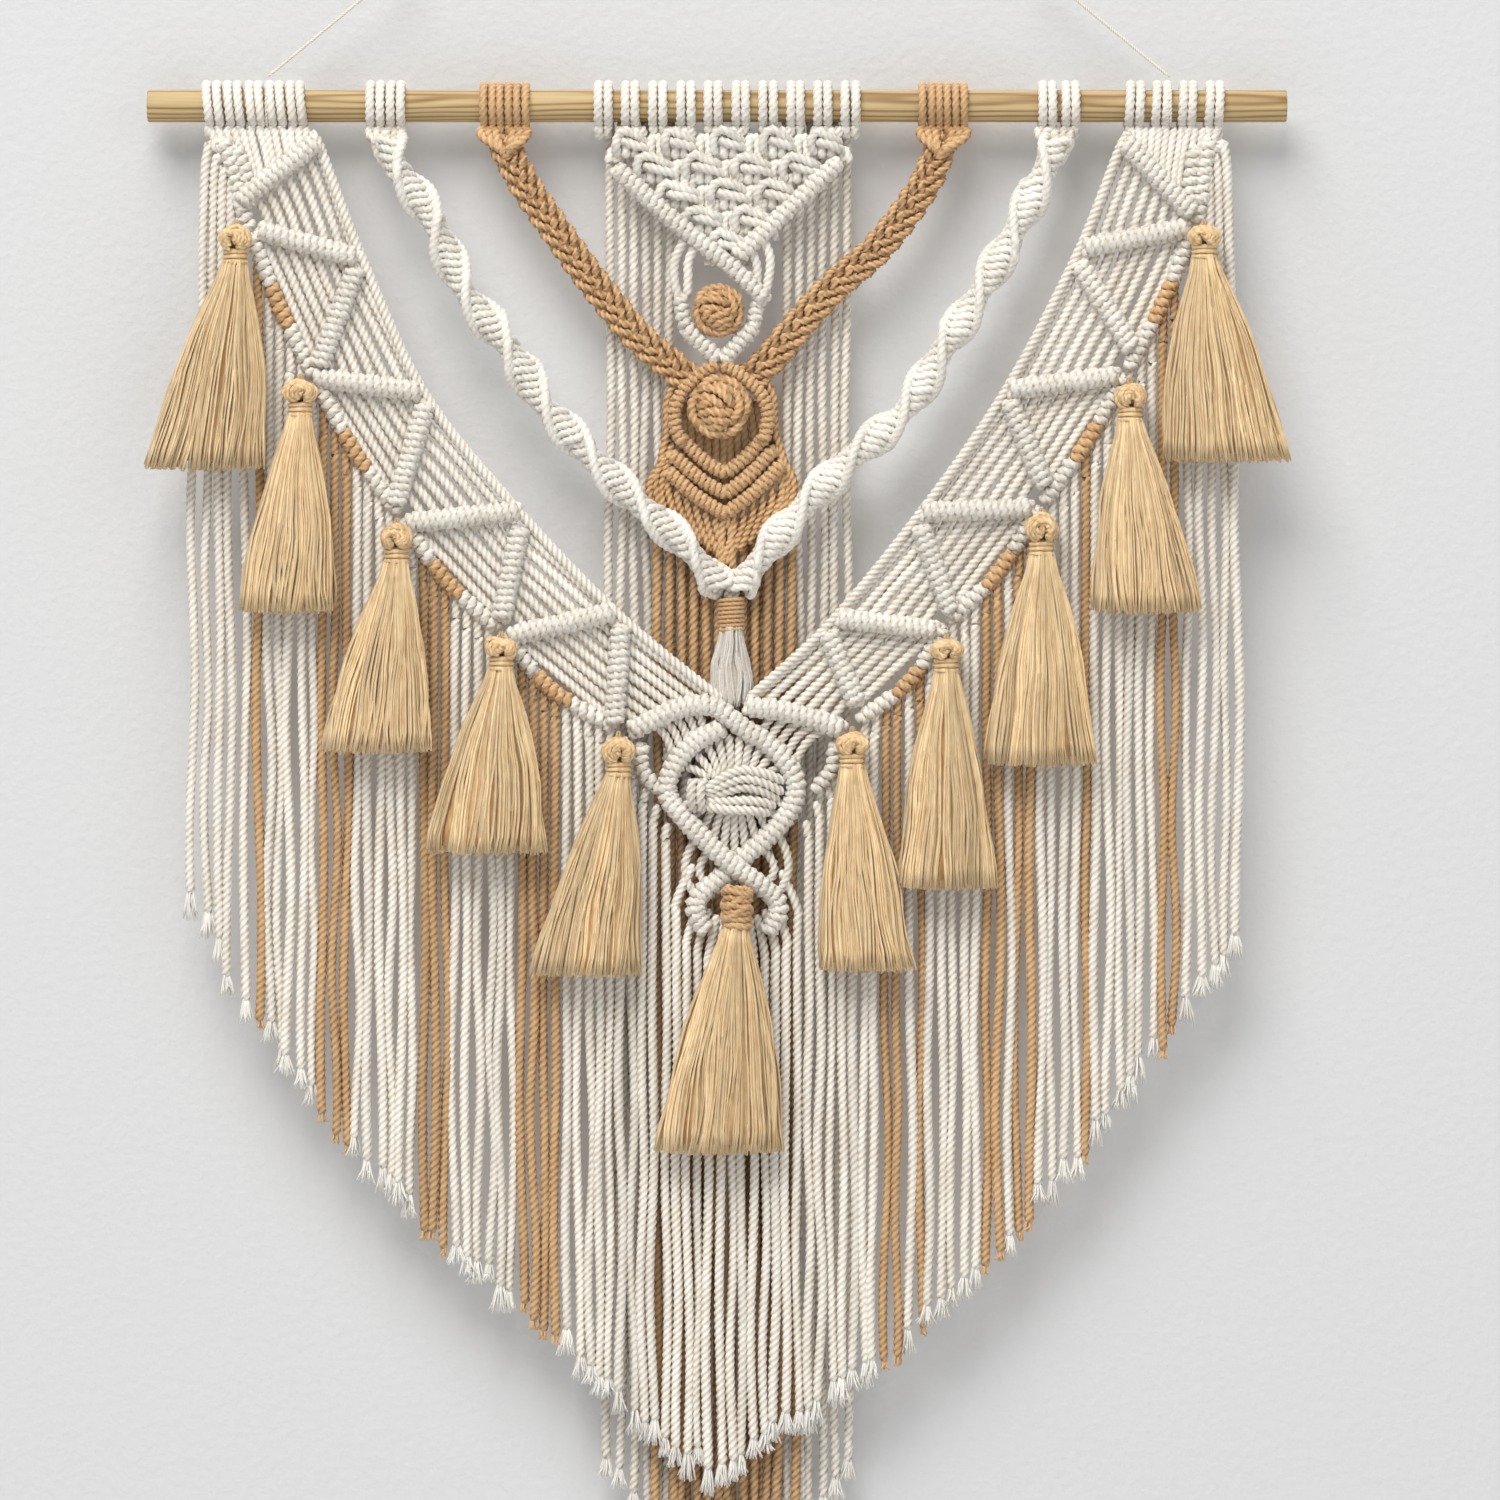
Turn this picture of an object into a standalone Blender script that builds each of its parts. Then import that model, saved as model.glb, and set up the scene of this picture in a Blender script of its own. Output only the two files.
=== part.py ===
"""A macrame wall hanging of twisted cotton cord, knotted on a pine dowel.

The hanging is in the XZ plane, +X to the right and -Y to the viewer. The origin is in the dowel's axis,
halfway along it. Lengths in the tables are in millimetres, and every object is made in metres.
"""
import math

import bmesh
import bpy
from mathutils import Vector

MM = 0.001

# The dowel and the cord, which every other size follows.
DOWEL_LENGTH = 457.0
DOWEL_RADIUS = 6.5
DOWEL_SIDES = 24
CORD = 4.0
CORD_RADIUS = 2.0
# Bars of half hitches: half their width in the plane, their depth to width, and the pitch of their ridges.
BAR_WIDTH = 3.7
BAR_DEPTH = 0.72
BAR_GROOVE = 0.8
BAR_RIDGE_PITCH = 13.0
ROW_WIDTH = 3.3
ROW_RIDGE_PITCH = 15.0
PANEL_BAR_WIDTH = 3.2
DIAMOND_BAR_WIDTH = 2.7
TAN_BAR_WIDTH = 2.7
MEDALLION_BAR_WIDTH = 3.3
MEDALLION_ROW_WIDTH = 2.5
STRIP_WIDTH = 2.9
GAP = 0.3

# Depth of each layer's middle, from the wall side (+Y) to the viewer (-Y).
PANEL_TAIL_Y = 3.6
TAN_TAIL_Y = -1.2
PANEL_Y = -4.2
BRAID_Y = -4.8
SPIRAL_Y = -9.6
SMALL_TASSEL_Y = -6.0
BAND_Y = -11.0
TASSEL_Y = -21.7

# Mounting loops round the dowel: name, first loop's middle, pitch and number of the doubled loops.
MOUNTINGS = (
    # name, x, pitch, loops, material
    ("mounting_left", -202.0, 8.4, 5, "ivory_cord"),
    ("mounting_spiral_left", -137.0, 8.2, 2, "ivory_cord"),
    ("mounting_braid_left", -91.8, 6.6, 3, "tan_cord"),
    ("mounting_centre", -45.6, 11.0, 10, "ivory_cord"),
    ("mounting_braid_right", 84.2, 6.6, 3, "tan_cord"),
    ("mounting_spiral_right", 132.6, 9.0, 2, "ivory_cord"),
    ("mounting_right", 167.4, 10.6, 4, "ivory_cord"),
)
LOOP_BORE = 7.2
LOOP_CREST = 10.4
LOOP_GROOVE = 8.6
LOOP_SIDES = 8

# The zigzag bars of each side, from the dowel down: inner end and outer end of each bar.
LEFT_BARS = (
    # inner_x, inner_z, outer_x, outer_z
    (-160.0, -15.0, -190.4, -38.4),
    (-144.0, -61.6, -183.6, -50.4),
    (-144.0, -65.6, -159.6, -105.6),
    (-118.4, -115.2, -160.4, -109.6),
    (-116.4, -119.6, -128.4, -159.6),
    (-78.8, -162.8, -123.2, -167.6),
    (-78.8, -169.6, -86.4, -206.4),
    (-41.6, -203.2, -82.4, -212.8),
    (-38.4, -208.8, -41.2, -247.2),
    (3.2, -241.4, -35.4, -250.8),
)
RIGHT_BARS = (
    (162.8, -15.0, 189.6, -43.6),
    (146.8, -57.6, 188.8, -49.6),
    (144.4, -63.6, 166.4, -98.4),
    (116.8, -114.4, 160.4, -108.8),
    (116.8, -118.8, 130.8, -152.4),
    (82.0, -163.2, 126.0, -162.0),
    (81.2, -169.2, 93.2, -202.8),
    (48.4, -205.6, 88.0, -210.4),
    (44.0, -211.2, 56.0, -240.4),
    (10.6, -240.6, 50.8, -249.6),
)
# The beaded edge rows: the knots they run through, from the dowel to the medallion, and the sag between them.
LEFT_EDGE = (
    # x, z, sag
    (-200.0, -15.4, 0.0),
    (-192.4, -36.0, 0.0),
    (-187.0, -50.0, 0.0),
    (-161.0, -109.6, 1.5),
    (-126.4, -164.8, 2.0),
    (-86.4, -210.8, 3.5),
    (-39.6, -250.0, 5.0),
)
RIGHT_EDGE = (
    (199.0, -15.4, 0.0),
    (194.4, -36.0, 0.0),
    (191.0, -48.6, 0.0),
    (163.6, -107.2, 1.5),
    (129.6, -160.4, 2.0),
    (91.6, -207.8, 3.5),
    (55.4, -247.2, 5.0),
)
CELL_CORDS = 5
CELL_FIRST = 0.30
CELL_LAST = 0.97
HEADER_Z = -14.6
HEADER_BACK = 4.0
HEADER_REACH = 0.75

# Where the fringe ends: a broad V.
FRINGE_HEM = (
    # x, z
    (-211.0, -320.0),
    (-190.0, -365.0),
    (-149.0, -418.0),
    (-110.0, -459.0),
    (-66.0, -495.0),
    (-30.0, -535.0),
    (0.0, -554.0),
    (33.0, -530.0),
    (75.0, -502.0),
    (109.0, -466.0),
    (149.0, -422.0),
    (181.0, -376.0),
    (210.0, -338.0),
)
FRINGE_PITCH = 4.3
# How far the strip of the side fringe is from its edge row, and the cords that swing out.
FRINGE_OFFSET = 6.2
FRINGE_CORDS_BESIDE = 5
FRINGE_SWING = 6.0
FRINGE_BEND = 10.0
CENTRE_STRIP = (
    # x, z
    (-38.6, -259.0),
    (-31.0, -277.0),
    (-21.0, -293.0),
    (-17.0, -312.0),
    (-15.6, -330.0),
    (-5.0, -339.0),
    (8.0, -341.0),
    (21.0, -339.0),
    (31.6, -330.0),
    (33.0, -312.0),
    (36.4, -293.0),
    (45.6, -277.0),
    (54.4, -259.0),
)
PANEL_TAIL_X = (-43.0, -38.2, -33.4, -28.6, -23.8, -19.0, 28.0, 32.8, 37.6, 42.4, 47.2, 52.0)
PANEL_TAIL_END = (-552.0, -556.0, -566.0, -574.0, -582.0, -590.0, -590.0, -583.0, -576.0, -568.0, -560.0, -553.0)
TAN_TAIL_STRIP = ((-24.0, -151.6), (3.0, -170.4), (30.0, -151.6))
TAN_TAIL_CORDS = 12
TAN_TAIL_END = -594.0
TAN_TAIL_SLOPE = 2.2

# The tassels: head, neck and skirt of each.
TASSELS = (
    # name, x, top, neck, hem, hem_left, hem_right
    ("tassel_left_1", -192.0, -49.5, -63.0, -146.4, -228.4, -180.6),
    ("tassel_left_2", -166.0, -111.0, -124.0, -203.2, -191.6, -150.6),
    ("tassel_left_3", -127.6, -168.4, -182.4, -259.2, -157.6, -113.0),
    ("tassel_left_4", -86.0, -213.6, -225.2, -299.6, -116.4, -67.8),
    ("tassel_left_5", -39.2, -253.6, -267.4, -348.4, -74.4, -31.0),
    ("tassel_centre", 7.6, -314.0, -327.2, -419.2, -24.4, 26.0),
    ("tassel_right_5", 54.0, -251.6, -264.0, -346.4, 40.4, 78.0),
    ("tassel_right_4", 91.6, -214.4, -226.0, -313.6, 70.8, 112.0),
    ("tassel_right_3", 129.6, -164.4, -179.4, -264.4, 106.2, 151.6),
    ("tassel_right_2", 164.8, -112.4, -126.0, -203.6, 150.4, 193.0),
    ("tassel_right_1", 194.4, -49.6, -61.0, -143.2, 177.6, 227.6),
)
TASSEL_SHAPE = {"neck": 5.6, "locks": (6, 5), "row_depth": 3.7, "lock": 3.6, "flatten": 0.9}
SMALL_TASSEL = ("tassel_small", 5.6, -197.8, -209.0, -241.0, -4.8, 14.4)
SMALL_TASSEL_SHAPE = {"neck": 5.0, "locks": (4, 4), "row_depth": 1.1, "lock": 1.1, "flatten": 0.55}
TASSEL_SHOULDER = 0.24

# The rope-like pieces that run from the dowel to the centre.
BRAIDS = {
    "braid_left": (
        (-86.8, -12.4), (-78.0, -30.0), (-62.8, -52.4), (-46.8, -74.4), (-30.8, -95.4), (-16.2, -109.2),
    ),
    "braid_right": (
        (91.2, -12.4), (83.2, -32.0), (65.2, -56.4), (45.2, -74.4), (29.2, -92.4), (17.8, -108.6),
    ),
}
BRAID_WIDTH = 5.6
BRAID_DEPTH = 3.0
BRAID_STEP = 5.4
BRAID_WAIST = 0.84
SPIRAL_TURN = 54.0
SPIRAL_STEPS = 9
SPIRAL_WIDE = 5.4
SPIRAL_THIN = 2.6
SPIRAL_END_BACK = 2.4
SPIRAL_TIP = 0.34
SPIRAL_GROWTH = 0.3
SPIRALS = {
    "spiral_left": (
        (-131.6, -13.4), (-128.8, -24.4), (-114.8, -44.4), (-100.8, -74.4), (-82.8, -98.4), (-68.8, -120.4),
        (-50.8, -140.4), (-30.8, -160.4), (-14.8, -174.4), (2.0, -193.6),
    ),
    "spiral_right": (
        (136.4, -13.4), (129.2, -30.4), (117.2, -54.4), (103.2, -78.4), (89.2, -100.4), (75.2, -122.4),
        (53.2, -142.4), (33.2, -162.4), (17.2, -182.4), (9.4, -193.6),
    ),
}

# The centre panel: its square knots, its bars and cords, and the white diamond under them.
KNOT_COLUMN = 5.1
KNOT_ROW = 5.0
KNOT_RISE = 3.0
PANEL_THICKNESS = 2.4
PANEL_TOP = (-42.5, 52.0, -11.6)
PANEL_APEX = (2.4, -62.0)
PANEL_BARS = (
    ((-39.2, -24.8), (10.4, -70.4), (19.2, -78.4)),
    ((45.6, -24.0), (4.8, -60.8)),
)
DIAMOND_BARS = (
    ((19.2, -78.4), (1.2, -104.4)),
    ((-14.0, -82.4), (0.6, -103.4)),
)
BAR_STAGGER = 0.3
PANEL_CORDS = (
    ((-16.8, -47.0), (-19.6, -66.0), (-17.4, -77.0), (-13.6, -83.4)),
    ((-10.4, -53.0), (-12.6, -66.0), (-13.4, -82.4)),
    ((19.2, -49.0), (22.6, -58.0), (21.8, -72.0), (18.6, -79.0)),
    ((13.0, -54.0), (15.6, -63.0), (16.6, -76.0)),
)
PANEL_CORD_RADIUS = 1.6
SMALL_BERRY = {"x": 0.4, "z": -82.4, "radius": 8.7, "depth": 6.0}
SMALL_BERRY_CORD = (-68.2, -94.0)

# The tan centre: the diamond round the large berry, and the chevrons.
TAN_BARS = (
    ((-18.0, -129.2), (-16.8, -119.2), (-5.0, -112.4), (2.0, -114.2), (9.0, -112.2), (19.2, -119.2),
     (22.4, -132.4)),
    ((-17.4, -130.0), (1.0, -147.6), (20.4, -131.6)),
    ((-19.6, -138.8), (2.4, -155.6), (22.8, -138.4)),
    ((-21.0, -145.0), (2.4, -163.6), (25.2, -145.2)),
)
TAN_LINKS = (
    ((-17.6, -128.0), (-20.8, -145.4)),
    ((21.8, -130.0), (25.0, -145.6)),
    ((0.8, -125.0), (1.0, -163.0)),
)
TAN_LINK_RADIUS = 2.2
LARGE_BERRY = {"x": 0.8, "z": -121.6, "radius": 11.6, "depth": 7.0}
BERRY_SIDES = (10, 6)

# The medallion below the V, with the ring that the big tassel hangs in.
MEDALLION_BARS = (
    ((4.4, -249.8), (-6.8, -255.0), (-14.8, -262.0), (-19.6, -272.4), (-12.8, -284.4), (-2.8, -296.4),
     (7.2, -306.4), (19.2, -314.4), (26.0, -318.8), (25.6, -326.4), (17.2, -332.4)),
    ((11.2, -249.8), (20.2, -255.0), (28.8, -262.0), (33.2, -272.8), (27.2, -284.4), (19.2, -294.4),
     (7.2, -305.6), (-2.8, -312.8), (-9.6, -317.6), (-9.6, -326.4), (-1.6, -332.4)),
)
MEDALLION_ROWS = (
    ((-29.6, -258.0), (-25.6, -274.6), (-19.4, -273.0)),
    ((45.2, -257.0), (38.8, -274.6), (33.0, -273.4)),
)
MEDALLION_CORDS = (
    # start_x, start_z, end_x, end_z
    (-28.0, -254.8, -19.4, -271.0),
    (-22.0, -253.2, -17.5, -265.5),
    (-15.5, -251.6, -13.0, -260.5),
    (42.5, -253.2, 33.2, -271.0),
    (36.0, -251.8, 31.0, -265.0),
    (29.0, -250.2, 26.6, -260.5),
)
MEDALLION_FAN_ABOVE = (
    (-14.8, -262.0), (-7.0, -255.2), (0.4, -252.0), (15.4, -252.4), (22.6, -256.6), (29.0, -262.0),
)
MEDALLION_FAN_BELOW = (
    (-16.0, -279.0), (-9.6, -288.4), (-2.8, -296.4), (3.6, -303.0), (11.4, -302.0), (18.0, -295.8), (24.6, -288.0),
    (30.2, -279.0),
)
# How near the knot's middle the fanned cords come together, and at what height.
FAN_ABOVE = (0.55, -268.6)
FAN_BELOW = (0.5, -273.6)
FAN_CORD_RADIUS = 1.5
MEDALLION_KNOT = ((-12.4, -273.4), (-3.0, -271.6), (8.4, -270.6), (19.6, -271.0), (28.8, -272.0))
MEDALLION_KNOT_SCALES = (0.45, 0.95, 1.0, 0.95, 0.45)
MEDALLION_KNOT_RADIUS = 6.4

# The hanging string's two legs: from the mounting loops to the eye that goes over a hook.
STRING_RADIUS = 0.7
STRING_LEGS = (
    # name, start_x, start_z, end_x, end_z
    ("left", -180.4, 11.7, -132.7, 51.1),
    ("right", 181.6, 11.7, 133.9, 51.1),
)
STRING_POINTS = 6
EYE_RADIUS = 4.0
EYE_KNOT = 1.8



def material(name, colour, roughness):
    """A Principled material, made once and then shared by name."""
    found = bpy.data.materials.get(name)
    if found:
        return found
    made = bpy.data.materials.new(name)
    made.use_nodes = True
    shader = made.node_tree.nodes["Principled BSDF"]
    shader.inputs["Base Color"].default_value = (*colour, 1.0)
    shader.inputs["Roughness"].default_value = roughness
    shader.inputs["Metallic"].default_value = 0.0
    made.diffuse_color = (*colour, 1.0)
    return made


def place(x, z, y):
    """A point given in millimetres, in metres."""
    return Vector((x * MM, y * MM, z * MM))


def smooth_path(points, step):
    """Points on a Catmull-Rom curve through the given ones, about one step apart."""
    path = []
    for i in range(len(points) - 1):
        before = points[max(i - 1, 0)]
        start, end = points[i], points[i + 1]
        after = points[min(i + 2, len(points) - 1)]
        count = max(1, round((end - start).length / step))
        for k in range(count):
            t = k / count
            path.append(0.5 * (2 * start + (end - before) * t + (2 * before - 5 * start + 4 * end - after) * t ** 2
                               + (3 * start - before - 3 * end + after) * t ** 3))
    path.append(points[-1].copy())
    return path


def resample(path, count):
    """The same polyline with its length shared evenly between a number of segments."""
    lengths = [(b - a).length for a, b in zip(path, path[1:])]
    total = sum(lengths)
    result = []
    for k in range(count + 1):
        reach = total * k / count
        i = 0
        while i < len(lengths) - 1 and reach > lengths[i]:
            reach -= lengths[i]
            i += 1
        result.append(path[i].lerp(path[i + 1], min(1.0, reach / lengths[i])))
    return result


def height_at(rows, x):
    """Height of a polyline of (x, z) rows over a place along X."""
    rows = sorted(row[:2] for row in rows)
    for (x0, z0), (x1, z1) in zip(rows, rows[1:]):
        if x <= x1 or (x1, z1) == rows[-1]:
            return z0 + (z1 - z0) * (x - x0) / (x1 - x0)
    return rows[-1][1]


class Workshop:
    """Keeps the finished pieces in one collection and the pieces to be fused in another."""

    def __init__(self):
        for thing in list(bpy.data.objects):
            bpy.data.objects.remove(thing)
        scene = bpy.context.scene.collection
        self.parts = bpy.data.collections.new("macrame_wall_hanging")
        self.cutters = bpy.data.collections.new("pieces_to_fuse")
        scene.children.link(self.parts)
        scene.children.link(self.cutters)

    def hidden(self, name, data):
        thing = bpy.data.objects.new(name, data)
        thing.hide_render = True
        thing.display_type = "WIRE"
        self.cutters.objects.link(thing)
        return thing

    def adopt(self, thing):
        """A primitive with its place put into its mesh, among the pieces to be fused."""
        bpy.context.view_layer.update()
        mesh = thing.data
        mesh.transform(thing.matrix_world)
        bpy.data.objects.remove(thing)
        return self.hidden(mesh.name, mesh)

    def profile(self, name, corners):
        """A closed flat outline that a curve can be bevelled with."""
        outline = bpy.data.curves.new(name, "CURVE")
        outline.dimensions = "2D"
        spline = outline.splines.new("POLY")
        spline.points.add(len(corners) - 1)
        for point, (x, y) in zip(spline.points, corners):
            point.co = (x * MM, y * MM, 0.0, 1.0)
        spline.use_cyclic_u = True
        return self.hidden(name, outline)

    def cords(self, name, paths, radius, scales=None, section=None, tilts=None, sides=4):
        """A closed mesh of tubes, one along each path. The scales thicken or thin a tube at each point."""
        curve = bpy.data.curves.new(name, "CURVE")
        curve.dimensions = "3D"
        curve.use_fill_caps = True
        if section:
            curve.bevel_mode = "OBJECT"
            curve.bevel_object = section
        else:
            curve.bevel_depth = radius * MM
            curve.bevel_resolution = (sides - 4) // 2
        for i, path in enumerate(paths):
            spline = curve.splines.new("POLY")
            spline.points.add(len(path) - 1)
            for k, (point, at) in enumerate(zip(spline.points, path)):
                point.co = (*at, 1.0)
                point.radius = scales[i][k] if scales else 1.0
                point.tilt = tilts[i][k] if tilts else 0.0
        guide = self.hidden(name + "_curve", curve)
        bpy.context.view_layer.update()
        mesh = bpy.data.meshes.new_from_object(guide.evaluated_get(bpy.context.evaluated_depsgraph_get()))
        bpy.data.objects.remove(guide)
        return self.hidden(name, welded(mesh))

    def fuse(self, name, pieces, look):
        """One closed body from overlapping meshes, by a Boolean union."""
        base, *others = pieces
        if others:
            together = bpy.data.collections.new(name + "_pieces")
            bpy.context.scene.collection.children.link(together)
            for other in others:
                together.objects.link(other)
            union = base.modifiers.new("fuse", "BOOLEAN")
            union.operation = "UNION"
            union.operand_type = "COLLECTION"
            union.collection = together
            union.solver = "EXACT"
        bpy.context.view_layer.update()
        mesh = bpy.data.meshes.new_from_object(base.evaluated_get(bpy.context.evaluated_depsgraph_get()))
        for piece in pieces:
            bpy.data.objects.remove(piece)
        if others:
            bpy.data.collections.remove(together)
        return self.keep(name, welded(mesh), look)

    def keep(self, name, mesh, look):
        """A finished piece with its own name and material."""
        mesh.name = name
        mesh.materials.clear()
        mesh.materials.append(look)
        piece = bpy.data.objects.new(name, mesh)
        self.parts.objects.link(piece)
        mesh.shade_smooth()
        mesh.set_sharp_from_angle(angle=math.radians(40))
        return piece


def welded(mesh):
    """The mesh with its loose caps joined to it and its faces turned outward."""
    shape = bmesh.new()
    shape.from_mesh(mesh)
    bmesh.ops.remove_doubles(shape, verts=shape.verts, dist=1e-6)
    bmesh.ops.dissolve_degenerate(shape, edges=shape.edges, dist=1e-6)
    bmesh.ops.recalc_face_normals(shape, faces=shape.faces)
    shape.to_mesh(mesh)
    shape.free()
    return mesh


def turned(shop, name, outline, sides, axis, centre, closed=False, flatten=1.0):
    """A profile of (radius, along) pairs turned about an axis through a centre, in millimetres."""
    shape = bmesh.new()
    upright = axis == "Z"
    points = [Vector((r, 0.0, a)) if upright else Vector((a, 0.0, r)) for r, a in outline]
    verts = [shape.verts.new(point * MM) for point in points]
    for a, b in zip(verts, verts[1:] + verts[:1] if closed else verts[1:]):
        shape.edges.new((a, b))
    mesh = bpy.data.meshes.new(name)
    shape.to_mesh(mesh)
    shape.free()
    piece = shop.hidden(name, mesh)
    screw = piece.modifiers.new("turn", "SCREW")
    screw.axis = axis
    screw.steps = screw.render_steps = sides
    screw.use_merge_vertices = True
    screw.merge_threshold = 1e-6
    bpy.context.view_layer.update()
    solid = bpy.data.meshes.new_from_object(piece.evaluated_get(bpy.context.evaluated_depsgraph_get()))
    bpy.data.objects.remove(piece)
    for vertex in solid.vertices:
        vertex.co.y *= flatten
        vertex.co += centre
    return shop.hidden(name, welded(solid))


def make_dowel(shop):
    bpy.ops.mesh.primitive_cylinder_add(
        vertices=DOWEL_SIDES, radius=DOWEL_RADIUS * MM, depth=DOWEL_LENGTH * MM, rotation=(0.0, math.pi / 2, 0.0))
    dowel = bpy.context.active_object
    dowel.name = dowel.data.name = "dowel"
    dowel.data.materials.append(material("pine", (0.78, 0.58, 0.32), 0.6))
    chamfer = dowel.modifiers.new("sawn_edge", "BEVEL")
    chamfer.width = 0.5 * MM
    chamfer.segments = 1
    chamfer.limit_method = "ANGLE"
    for collection in list(dowel.users_collection):
        collection.objects.unlink(dowel)
    shop.parts.objects.link(dowel)
    dowel.data.shade_smooth()
    dowel.data.set_sharp_from_angle(angle=math.radians(40))


def make_mountings(shop, looks):
    """Each group of lark's heads as a sleeve with one ridge for each doubled loop."""
    for name, first, pitch, loops, look in MOUNTINGS:
        ends = (first - CORD, first + pitch * (loops - 1) + CORD)
        outline = [(LOOP_BORE, ends[1]), (LOOP_BORE, ends[0]), (LOOP_GROOVE, ends[0])]
        for k in range(loops):
            middle = first + k * pitch
            outline += [(LOOP_CREST, middle - CORD * 0.45), (LOOP_CREST, middle + CORD * 0.45)]
            if k < loops - 1:
                outline.append((LOOP_GROOVE, middle + pitch / 2))
        outline.append((LOOP_GROOVE, ends[1]))
        sleeve = turned(shop, name, outline, LOOP_SIDES, "X", Vector(), closed=True)
        shop.fuse(name, [sleeve], looks[look])


def flat_sided(shop, name, path, widths, depth):
    """A tube with a rectangular section that is wide in the hanging's plane."""
    section = shop.profile(name + "_section", [(depth, 1.0), (-depth, 1.0), (-depth, -1.0), (depth, -1.0)])
    tube = shop.cords(name, [path], 1.0, [widths], section)
    bpy.data.objects.remove(section)
    return tube


def strip_along(shop, name, path):
    """The narrow strip that a row of hanging cords is rooted in."""
    return flat_sided(shop, name, path, [STRIP_WIDTH * 0.75] * len(path), 1.0)


def ridged(shop, name, points, width, pitch=BAR_RIDGE_PITCH):
    """A bar of half hitches: a flat-sided tube whose thickness goes up and down along it."""
    path = smooth_path(points, pitch * MM)
    length = sum((b - a).length for a, b in zip(path, path[1:])) / MM
    hitches = max(2, round(length / pitch))
    path = resample(path, 2 * hitches)
    widths = [width * (1.0 if k % 2 else BAR_GROOVE) for k in range(len(path))]
    return flat_sided(shop, name, path, widths, BAR_DEPTH)


def edge_points(rows, y):
    """The edge row's points, with a sagging point between its knots."""
    points = [place(rows[0][0], rows[0][1], y)]
    for (x0, z0, _), (x1, z1, sag) in zip(rows, rows[1:]):
        if sag:
            out = Vector((z1 - z0, x0 - x1)).normalized()
            out *= -1 if out.y > 0 else 1
            points.append(place((x0 + x1) / 2 + out.x * sag, (z0 + z1) / 2 + out.y * sag, y))
        points.append(place(x1, z1, y))
    return points


def beside(points, distance):
    """The same path moved outward and down, square to its run."""
    moved = []
    for before, point, after in zip(points[:1] + points, points, points[1:] + points[-1:]):
        run = after - before
        out = Vector((run.z, 0.0, -run.x)).normalized()
        moved.append(point + out * (distance * MM if out.z < 0 else -distance * MM))
    return moved


def make_band(shop, name, bars, edge, look):
    """Half of the V: bars of half hitches, the parallel cords between them, the edge row and the header."""
    pieces = [ridged(shop, f"{name}_edge", edge_points(edge, BAND_Y), ROW_WIDTH, ROW_RIDGE_PITCH)]
    y = BAND_Y + HEADER_BACK
    header = [place(edge[0][0], HEADER_Z, y), place(bars[0][0], HEADER_Z, y)]
    pieces.append(ridged(shop, f"{name}_header", header, ROW_WIDTH, ROW_RIDGE_PITCH))
    ends = []
    for i, (inner_x, inner_z, outer_x, outer_z) in enumerate(bars):
        inner, outer = place(inner_x, inner_z, BAND_Y), place(outer_x, outer_z, BAND_Y)
        ends.append((inner, outer))
        pieces.append(ridged(shop, f"{name}_bar_{i}", [inner, outer], BAR_WIDTH))
    paths = []
    for i, ((inner, outer), (next_inner, next_outer)) in enumerate(zip(ends, ends[1:])):
        for k in range(CELL_CORDS):
            t = CELL_FIRST + (CELL_LAST - CELL_FIRST) * k / (CELL_CORDS - 1)
            if i % 2:
                paths.append([inner.lerp(outer, t), next_inner.lerp(next_outer, t)])
            else:
                paths.append([outer.lerp(inner, t), next_outer.lerp(next_inner, t)])
    inner, outer = ends[0]
    for k in range(1, CELL_CORDS):
        t = k / CELL_CORDS
        paths.append([header[1].lerp(header[0], t * HEADER_REACH), inner.lerp(outer, t)])
    pieces.append(shop.cords(f"{name}_cords", paths, CORD_RADIUS))
    shop.fuse(name, pieces, look)


def fringe_paths(roots, hems, y):
    """Cords from each root to its place at the hem, with a bend where they start to hang plumb."""
    paths = []
    for (x, z), (hem_x, hem_z) in zip(roots, hems):
        if abs(hem_x - x) > 1.5:
            paths.append([place(x, z, y), place(hem_x, z - FRINGE_BEND, y), place(hem_x, hem_z, y)])
        else:
            paths.append([place(x, z, y), place(hem_x, hem_z, y)])
    return paths


def make_side_fringe(shop, name, edge, look):
    """The cords under one edge row, and the long ones that swing out beside it, on one narrow strip."""
    side = -1 if edge[0][0] < 0 else 1
    strip = beside(edge_points(edge, BAND_Y), FRINGE_OFFSET)
    rows = [(point.x / MM, point.z / MM) for point in strip]
    start, end = rows[0][0], rows[-1][0]
    count = int(abs(end - start) / FRINGE_PITCH)
    roots, hems = [], []
    for k in range(count + 1):
        x = start + (end - start) * k / count
        z = height_at(rows, x)
        out = max(0, FRINGE_CORDS_BESIDE - k) / FRINGE_CORDS_BESIDE
        hem_x = x + side * FRINGE_SWING * out
        roots.append((x, z))
        hems.append((hem_x, height_at(FRINGE_HEM, hem_x)))
    band = strip_along(shop, f"{name}_strip", strip)
    strands = shop.cords(f"{name}_strands", fringe_paths(roots, hems, BAND_Y), CORD_RADIUS)
    shop.fuse(name, [band, strands], look)


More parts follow.
